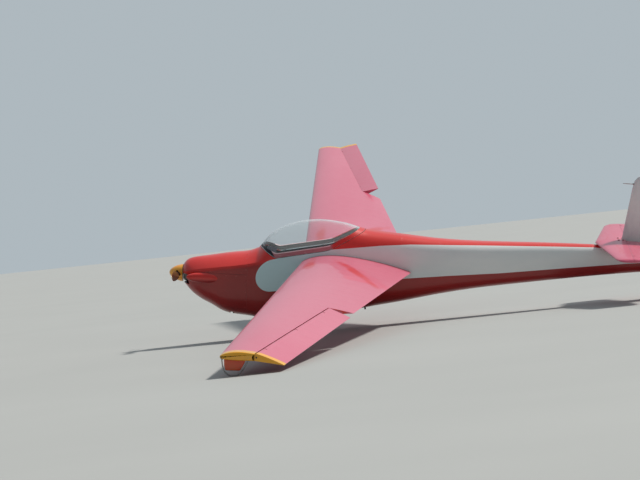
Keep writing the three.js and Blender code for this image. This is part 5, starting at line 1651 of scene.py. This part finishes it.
def make_cushion(name, corners, half, press, node):
    """A stuffed cushion between four side-view corners: under front, under back, over back, over front."""
    low_front, low_back, high_back, high_front = (Vector((x, 0, z)) for x, z in corners)
    bm = bmesh.new()
    bmesh.ops.create_cube(bm, size=2.0)
    bmesh.ops.subdivide_edges(bm, edges=bm.edges, cuts=15, use_grid_fill=True)
    for vert in bm.verts:
        along, across, over = vert.co
        along *= 1 - 0.030 * cos(across * pi / 2)
        side = half * across * (1 - 0.030 * cos(along * pi / 2))
        share, height = (along + 1) / 2, (over + 1) / 2
        point = low_front.lerp(low_back, share).lerp(high_front.lerp(high_back, share), height)
        vert.co = Vector((point.x, side, point.z))
    bmesh.ops.transform(bm, matrix=BODY, verts=bm.verts)
    mesh = bpy.data.meshes.new(name)
    bm.to_mesh(mesh)
    bm.free()
    piece = bpy.data.objects.new(name, mesh)
    scene.collection.objects.link(piece)
    facing = BODY.to_3x3() @ press
    stuff(piece, facing, 0.012)
    piece.data.update()
    normals = [vert.normal.copy() for vert in piece.data.vertices]
    for vert, normal in zip(piece.data.vertices, normals):
        place = TO_BODY @ vert.co
        if normal.dot(facing) < -0.3 and abs(place.y) < half - 0.03:
            seam = min(abs(abs(place.y) - line) for line in (0.0, CUSHION_CHANNEL, 2 * CUSHION_CHANNEL))
            vert.co += facing * 0.006 * max(0.0, 1 - (seam / 0.011) ** 2)
    smoother = piece.modifiers.new("smooth_cover", "SUBSURF")
    smoother.levels = smoother.render_levels = 1
    settle(piece)
    piece.data.materials.append(seat_cloth)
    piece.data.shade_smooth()
    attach(piece, "airframe")
    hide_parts(node)
    return piece


def lie_on(piece, point, direction, lift):
    """Where a ray from a point meets a piece, lifted off a little, and the way the surface faces there."""
    start, way = BODY @ Vector(point), BODY.to_3x3() @ Vector(direction)
    hit, place, normal, _ = piece.ray_cast(start, way)
    if not hit:
        return None
    return TO_BODY @ (place + normal * lift), TO_BODY.to_3x3() @ normal


def ribbon(bm, path, width, thickness):
    """A flat strap along a path of (point, way it faces)."""
    points = [point for point, _ in path]
    ahead = path_ways(points)
    rings = []
    for (point, normal), tangent in zip(path, ahead):
        side = tangent.cross(normal).normalized() * width / 2
        up = side.cross(tangent).normalized() * thickness / 2
        rings.append([point + side + up, point - side + up, point - side - up, point + side - up])
    loft(bm, rings)


def add_strap(bm, start, rests):
    """A strap along a start of (point, way it faces) and on over the places where it rests."""
    path = start + [rest for rest in rests if rest]
    smooth = curve_through([tuple(point) + tuple(normal) for point, normal in path], 3)
    ribbon(bm, [(Vector(row[:3]), Vector(row[3:6]).normalized()) for row in smooth], 0.044, 0.0022)


def make_harness(seat_cushion, back_cushion):
    straps = bmesh.new()
    for side in (-1, 1):
        over_back = [(Vector((2.045, side * 0.085, 0.262)), Vector((1, 0, 0.1))),
                     (Vector((2.036, side * 0.084, 0.300)), Vector((1, 0, 1)).normalized()),
                     (Vector((2.006, side * 0.083, 0.3065)), Z_WAY)]
        rests = [lie_on(back_cushion, (1.60, side * y, z), X_WAY, 0.002)
                 for y, z in ((0.082, 0.270), (0.034, -0.090))]
        rests += [lie_on(seat_cushion, (x, side * 0.030, 0.2), -Z_WAY, 0.003) for x in (1.845, 1.810, 1.775)]
        add_strap(straps, over_back, rests)
        rests = [lie_on(seat_cushion, (mix(1.735, 1.795, y / 0.2), side * y, 0.2), -Z_WAY, 0.0035)
                 for y in (0.188, 0.165, 0.135, 0.100, 0.070, 0.040)]
        add_strap(straps, [(Vector((1.800, side * 0.2165, -0.190)), Y_WAY * side)], rests)
    finish_piece(straps, "harness_straps", webbing, "seat_cloth")
    place, normal = lie_on(seat_cushion, (1.745, 0, 0.2), (0, 0, -1), 0.004)
    bm = bmesh.new()
    case = [(0, 0.014), (0.012, 0.014), (0.013, 0.011), (0.027, 0.010), (0.030, 0.006), (0.030, -0.002),
            (0, -0.002)]
    turned(bm, case, place, normal, 48)
    for angle in (0.6, 2.54, 3.74, 5.68):
        out = Vector((cos(angle), sin(angle), 0))
        rod(bm, place + out * 0.026 + normal * 0.004, place + out * 0.044 + normal * 0.003, 0.006, 0.005, 16)
    finish_piece(bm, "harness_buckle", steel, "bare_steel")


def add_mark(bm, base, degrees, corners, thickness):
    """A flat mark on a dial, its corners given outward and across at an angle."""
    out = Vector((0, cos(radians(degrees)), -sin(radians(degrees))))
    across = out.cross(X_WAY)
    plate(bm, [base + out * a + across * b for a, b in corners], X_WAY, thickness)


def make_panel():
    x = 1.0965
    heights = spaced(0.020, 0.322, 0.014)
    right = [Vector((x, half_width(x, z, CABIN_WALL) + 0.002, z)) for z in heights]
    left = [Vector((x, -point.y, point.z)) for point in reversed(right)]
    bm = bmesh.new()
    plate(bm, right + left, (1, 0, 0), 0.0105)
    block(bm, (1.107, -0.150, 0.028), (1.113, 0.150, 0.052), 0.002)
    finish_piece(bm, "instrument_panel_plate", panel_black, "panel_black", "instrument_panel")

    hood = bmesh.new()
    rows = []
    for x, z in curve_through([(1.090, 0.336), (1.120, 0.3265), (1.160, 0.3110), (1.190, 0.2965)], 5):
        half = half_width(x, z, CABIN_WALL) - 0.003
        sag = 0.010 + 0.45 * (1.190 - x)
        rows.append([Vector((x, half * s, z - sag * s**4)) for s in (mix(-1, 1, k / 24) for k in range(25))])
    loft(hood, rows, False, False, closed=False)
    thicken(hood, 0.004)
    finish_piece(hood, "glare_shield", navy_shield, "panel_black")

    bezels, faces, marks = bmesh.new(), bmesh.new(), bmesh.new()
    dials = [(-0.105, 0.205, 0.040), (0.0, 0.205, 0.040), (0.105, 0.205, 0.040), (-0.150, 0.105, 0.029),
             (-0.075, 0.105, 0.029), (0.0, 0.105, 0.040), (0.075, 0.105, 0.029), (0.150, 0.105, 0.029)]
    for k, (y, z, r) in enumerate(dials):
        middle = Vector((1.107, y, z))
        ring = [(0.86, 0.0012), (0.90, 0.0050), (1.0, 0.0055), (1.08, 0.0040), (1.10, 0.0)]
        turned(bezels, [(r * share, out) for share, out in ring], middle, X_WAY, 48)
        turned(faces, [(0, 0.0022), (r * 0.88, 0.0022), (r * 0.88, 0.0004)], middle, (1, 0, 0), 48)
        for t in range(25):
            inner, half = (0.66, 0.0009) if t % 4 == 0 else (0.75, 0.0005)
            corners = [(r * 0.83, half), (r * inner, half), (r * inner, -half), (r * 0.83, -half)]
            add_mark(marks, middle + X_WAY * 0.00225, -225 + 270 * t / 24, corners, 0.0003)
        needle = [(r * 0.74, 0), (0, r * 0.05), (-r * 0.18, 0), (0, -r * 0.05)]
        add_mark(marks, middle + X_WAY * 0.0027, -205 + 31 * k, needle, 0.0005)
        turned(bezels, [(0, 0.0042), (r * 0.07, 0.0042), (r * 0.08, 0.0022)], middle, (1, 0, 0), 16)
    for y in (-0.210, -0.190, 0.190, 0.210):
        rod(marks, (1.107, y, 0.20), (1.122, y, 0.206), 0.0030, 0.0022, 12)
        turned(bezels, [(0.003, 0.003), (0.006, 0.003), (0.0065, 0)], (1.107, y, 0.20), (1, 0, 0), 6)
    finish_piece(bezels, "dial_bezels", panel_black, "panel_black")
    finish_piece(faces, "dial_faces", dial_face, "panel_black")
    finish_piece(marks, "dial_marks", dial_white, "bare_steel")


def make_controls():
    lean = Matrix.Translation((1.400, 0, SEAT_FLOOR)) @ Matrix.Rotation(-radians(15), 4, "X")
    stick = bmesh.new()
    path = [(0, 0, 0.006), (-0.002, 0, 0.060), (-0.004, 0, 0.130), (0.010, 0, 0.250), (0.008, 0, 0.345)]
    sweep(stick, curve_through(path, 6), 0.0105, 20)
    finish_piece(stick, "stick_tube", dark_steel, "dark_steel", "control_stick", transform=lean)
    grip = bmesh.new()
    shape = curve_through([(0.0125, 0.333), (0.0160, 0.345), (0.0150, 0.366), (0.0168, 0.388),
                           (0.0158, 0.408), (0.0178, 0.424), (0.0120, 0.4305)], 4)
    turned(grip, [(0.0, 0.333)] + [tuple(p) for p in shape] + [(0.0, 0.4310)], (0.0075, 0, 0), (0, 0, 1), 40)
    folds = [(0.0345, 0.001)]
    for k in range(5):
        folds += [(0.0345 - 0.0042 * k, 0.006 + 0.009 * k), (0.0285 - 0.0042 * k, 0.0105 + 0.009 * k)]
    turned(grip, folds + [(0.0105, 0.052)], (0, 0, 0), (0, 0, 1), 40)
    finish_piece(grip, "stick_grip_and_boot", black_grip, "dark_steel", transform=lean)
    button = bmesh.new()
    turned(button, [(0, 0.003), (0.005, 0.0024), (0.0056, -0.002)], (0.0075, 0, 0.4305), (0, 0, 1), 24)
    finish_piece(button, "stick_button", red_knob, "dark_steel", transform=lean)

    quadrant = bmesh.new()
    block(quadrant, (1.330, -0.284, 0.090), (1.420, -0.244, 0.150), 0.006, 3)
    block(quadrant, (1.342, -0.249, 0.139), (1.408, -0.243, 0.1505), 0.002, 2)
    finish_piece(quadrant, "throttle_quadrant", dark_steel, "dark_steel", "throttle_lever")
    lever = bmesh.new()
    sweep(lever, curve_through([(1.375, -0.246, 0.128), (1.370, -0.236, 0.160), (1.362, -0.215, 0.205)], 6),
          0.0055, 16, 0.0045)
    finish_piece(lever, "throttle_arm", steel, "dark_steel")
    knob = bmesh.new()
    ball = [(0.015 * sin(a), -0.015 * cos(a)) for a in (pi * k / 14 for k in range(15))]
    turned(knob, ball, (1.362, -0.214, 0.212), (0, 0.3, 1), 32)
    finish_piece(knob, "throttle_knob", red_knob, "dark_steel")


# Wheels
def tyre_profile(radius, width, rim, grooves, groove_half):
    half = width / 2
    shoulder = 0.78 * half

    def crown(y):
        return radius - 0.07 * radius * (abs(y) / shoulder) ** 2.4

    bead = [(rim, -half * 0.62), (rim + 0.006, -half * 0.80), (rim + 0.014, -half * 0.88)]
    wall = curve_through(bead + [((rim + radius) / 2, -half), (radius * 0.86, -half * 0.95),
                                 (crown(shoulder), -shoulder)], 4)
    side = [tuple(point) for point in wall]
    tread = []
    for place in grooves:
        y = place * half
        tread += [(crown(y - groove_half), y - groove_half), (crown(y) - 0.0035, y - groove_half + 0.0006),
                  (crown(y) - 0.0035, y + groove_half - 0.0006), (crown(y + groove_half), y + groove_half)]
        tread.append((crown(y + groove_half + 0.07 * half), y + groove_half + 0.07 * half))
    return side + tread[:-1] + [(r, -y) for r, y in reversed(side)]


def make_wheel(names, bodies, centre, radius, width, rim, axle, grooves, bolts):
    half = width / 2
    tyre = bmesh.new()
    turned(tyre, tyre_profile(radius, width, rim, grooves, 0.0024), centre, (0, 1, 0), 96, closed=True)
    finish_piece(tyre, names[0] + "_cover", rubber, "tyre_rubber", names[0], body=bodies)
    edge = rim - 0.0007
    bore = axle + 0.0004
    hub = [(bore, 0.70), (bore + 0.010, 0.70), (bore + 0.012, 0.66), (bore + 0.014, 0.36),
           (edge - 0.014, 0.33), (edge - 0.006, 0.42), (edge - 0.004, 0.60), (edge, 0.60)]
    hub = [(r, -half * share) for r, share in hub] + [(r, half * share) for r, share in reversed(hub)]
    bm = bmesh.new()
    turned(bm, hub, centre, (0, 1, 0), 72, closed=True)
    ring = (bore + 0.014 + edge - 0.014) / 2
    for k in range(bolts):
        angle = 2 * pi * k / bolts
        spot = Vector(centre) + Vector((cos(angle), 0, sin(angle))) * ring
        for side in (-1, 1):
            web = side * half * 0.34
            rod(bm, spot + Y_WAY * web, spot + Y_WAY * (web + side * 0.004), 0.0045, sides=6)
    finish_piece(bm, names[1] + "_casting", alloy, "wheel_alloy", names[1], body=bodies)


def make_wheels():
    make_wheel(("main_tyre", "main_hub"), "main_wheel", (1.450, 0, -0.452), 0.180, 0.125, 0.070, 0.010,
               (-0.56, -0.19, 0.19, 0.56), 6)
    make_wheel(("tail_tyre", "tail_hub"), "tail_wheel", (5.450, 0, 0.056), 0.100, 0.050, 0.052, 0.006,
               (-0.30, 0.30), 5)
    bracket = bmesh.new()
    belly = smooth_row(FUSELAGE, 5.375)[3]
    # Height, half length and half width
    sizes = [(belly + 0.030, 0.150, 0.034), (belly - 0.012, 0.120, 0.030), (0.2105, 0.092, 0.0275),
             (0.1900, 0.079, 0.0262), (0.1868, 0.076, 0.0240), (0.1863, 0.070, 0.0200)]
    loft(bracket, [[Vector((5.355 + half * cos(a), wide * sin(a), z)) for a in circle(48)]
                   for z, half, wide in sizes])
    finish_piece(bracket, "tail_bracket_casting", dark_steel, "dark_steel", "tail_bracket")
    stub = bmesh.new()
    low = smooth_row(FUSELAGE, 2.190)[3]
    path = [Vector((x, 0, low + up)) for x, up in ((2.190, 0.02), (2.198, -0.006), (2.202, -0.028))]
    faces = sweep(stub, path, 0.0115, 24, 0.009)
    stub.normal_update()
    hollow_end(stub, faces[-1], 0.0018, 0.02)
    finish_piece(stub, "drain_stub", dark_steel, "dark_steel", "belly_stub")


make_fuselage()
make_cabin_floor()
make_well_liner()
make_cowling()
make_engine()
make_exhaust()
make_propeller()
make_canopy()
for side in (-1, 1):
    make_wing(side)
    make_tip_skid(side)
make_tailplane()
make_fin()
make_seat()
seat_cushion = make_cushion(
    "seat_cushion_pad", [(1.516, pan_top(1.516) + 0.001), (1.884, pan_top(1.884) + 0.001),
                         (1.886, pan_top(1.886) + 0.044), (1.530, pan_top(1.530) + 0.044)],
    0.186, Vector((0, 0, -1)), "seat_cushion")
LOW_Z, HIGH_Z = SEAT_FLOOR + 0.084, SEAT["top_z"] - 0.020
back_cushion = make_cushion(
    "back_cushion_pad", [(back_face(LOW_Z) - 0.0015, LOW_Z), (back_face(HIGH_Z) - 0.0015, HIGH_Z),
                         (back_face(HIGH_Z) - 0.036, HIGH_Z + 0.004),
                         (back_face(LOW_Z) - 0.024, LOW_Z + 0.006)],
    0.176, Vector((0.985, 0, -0.17)).normalized(), "back_cushion")
make_harness(seat_cushion, back_cushion)
make_panel()
make_controls()
make_wheels()

# The solids that stay, in their own finishes
KEPT_SOLIDS = {"engine_mount": dark_steel, "propeller_shaft": steel, "main_fork": dark_steel,
               "main_axle": steel, "tail_fork": dark_steel, "tail_axle": steel, "rudder_pedals": steel}
for node, finish in KEPT_SOLIDS.items():
    frame["nodes"][node].data.materials.clear()
    frame["nodes"][node].data.materials.append(finish)


# Stage: floor, light and the camera at the photograph's place
def make_stage():
    bm = bmesh.new()
    bmesh.ops.create_grid(bm, x_segments=1, y_segments=1, size=200)
    bmesh.ops.translate(bm, verts=bm.verts, vec=(0, 0, cad_box[0].z))
    mesh = bpy.data.meshes.new("studio_floor")
    bm.to_mesh(mesh)
    bm.free()
    mesh.materials.append(make_floor())
    floor = bpy.data.objects.new("studio_floor", mesh)
    scene.collection.objects.link(floor)


def make_floor():
    floor = Finish("studio_floor_pale")
    cloud = floor.noise(0.4, detail=3)
    colour = floor.mixed(cloud, srgb(160, 161, 159), srgb(168, 169, 167))
    floor.bump(floor.noise(40, detail=3), 0.0006)
    return floor.set(base_color=colour, roughness=0.7 + cloud * 0.1).data


def looking(place, target):
    back = (place - target).normalized()
    right = Vector((0, 0, 1)).cross(back).normalized()
    turn = Matrix((right, back.cross(right), back)).transposed().to_4x4()
    return Matrix.Translation(place) @ turn


def make_world():
    """Soft sky light, dimmer on the side that the camera stands on."""
    world = bpy.data.worlds.new("studio_world")
    world.use_nodes = True
    tree = world.node_tree
    direction = tree.nodes.new("ShaderNodeTexCoord").outputs["Generated"]
    toward = tree.nodes.new("ShaderNodeVectorMath")
    toward.operation = "DOT_PRODUCT"
    toward.inputs[1].default_value = tuple((STARBOARD * 0.9 + AFT * 0.2 + Vector((0, 0, 0.35))).normalized())
    share = tree.nodes.new("ShaderNodeMapRange")
    share.interpolation_type = "SMOOTHSTEP"
    share.inputs["From Min"].default_value = -0.5
    share.inputs["From Max"].default_value = 0.6
    share.inputs["To Min"].default_value = WORLD_DIM
    share.inputs["To Max"].default_value = WORLD_BRIGHT
    background = tree.nodes["Background"]
    background.inputs["Color"].default_value = (0.82, 0.93, 1.0, 1.0)
    tree.links.new(direction, toward.inputs[0])
    tree.links.new(toward.outputs["Value"], share.inputs["Value"])
    tree.links.new(share.outputs["Result"], background.inputs["Strength"])
    scene.world = world


WORLD_DIM, WORLD_BRIGHT = 0.26, 0.52


def make_lights():
    """One soft key, high and behind the tail's far side, as in the photograph."""
    data = bpy.data.lights.new("high_key", "SUN")
    data.energy = 3.7
    data.angle = radians(6)
    data.color = (1.0, 0.96, 0.90)
    key = bpy.data.objects.new("high_key", data)
    key.matrix_world = looking(AFT * 8 + STARBOARD * 4 + Vector((0, 0, 12)), Vector((0, 0, 0)))
    scene.collection.objects.link(key)


def make_camera():
    """Body-axis place, heading, pitch and roll, found from the photograph's edges."""
    place = Vector((3.0565, -26.8251, 4.7348))
    heading, pitch, roll = -0.0516, -0.1588, 0.0335
    focal_pixels = 2449.27
    ahead = Vector((sin(heading) * cos(pitch), cos(heading) * cos(pitch), sin(pitch)))
    right = Vector((cos(heading), -sin(heading), 0))
    over = right.cross(ahead)
    rolled_right = cos(roll) * right + sin(roll) * over
    rolled_up = -sin(roll) * right + cos(roll) * over
    data = bpy.data.cameras.new("photo_camera")
    data.sensor_width = 36.0
    data.lens = focal_pixels / 640 * data.sensor_width
    data.clip_end = 500
    camera = bpy.data.objects.new("photo_camera", data)
    turn = Matrix((rolled_right, rolled_up, -ahead)).transposed().to_4x4()
    camera.matrix_world = BODY @ Matrix.Translation(place) @ turn
    scene.collection.objects.link(camera)
    scene.camera = camera


make_stage()
make_world()
make_lights()
make_camera()
scene.view_settings.view_transform = "Standard"
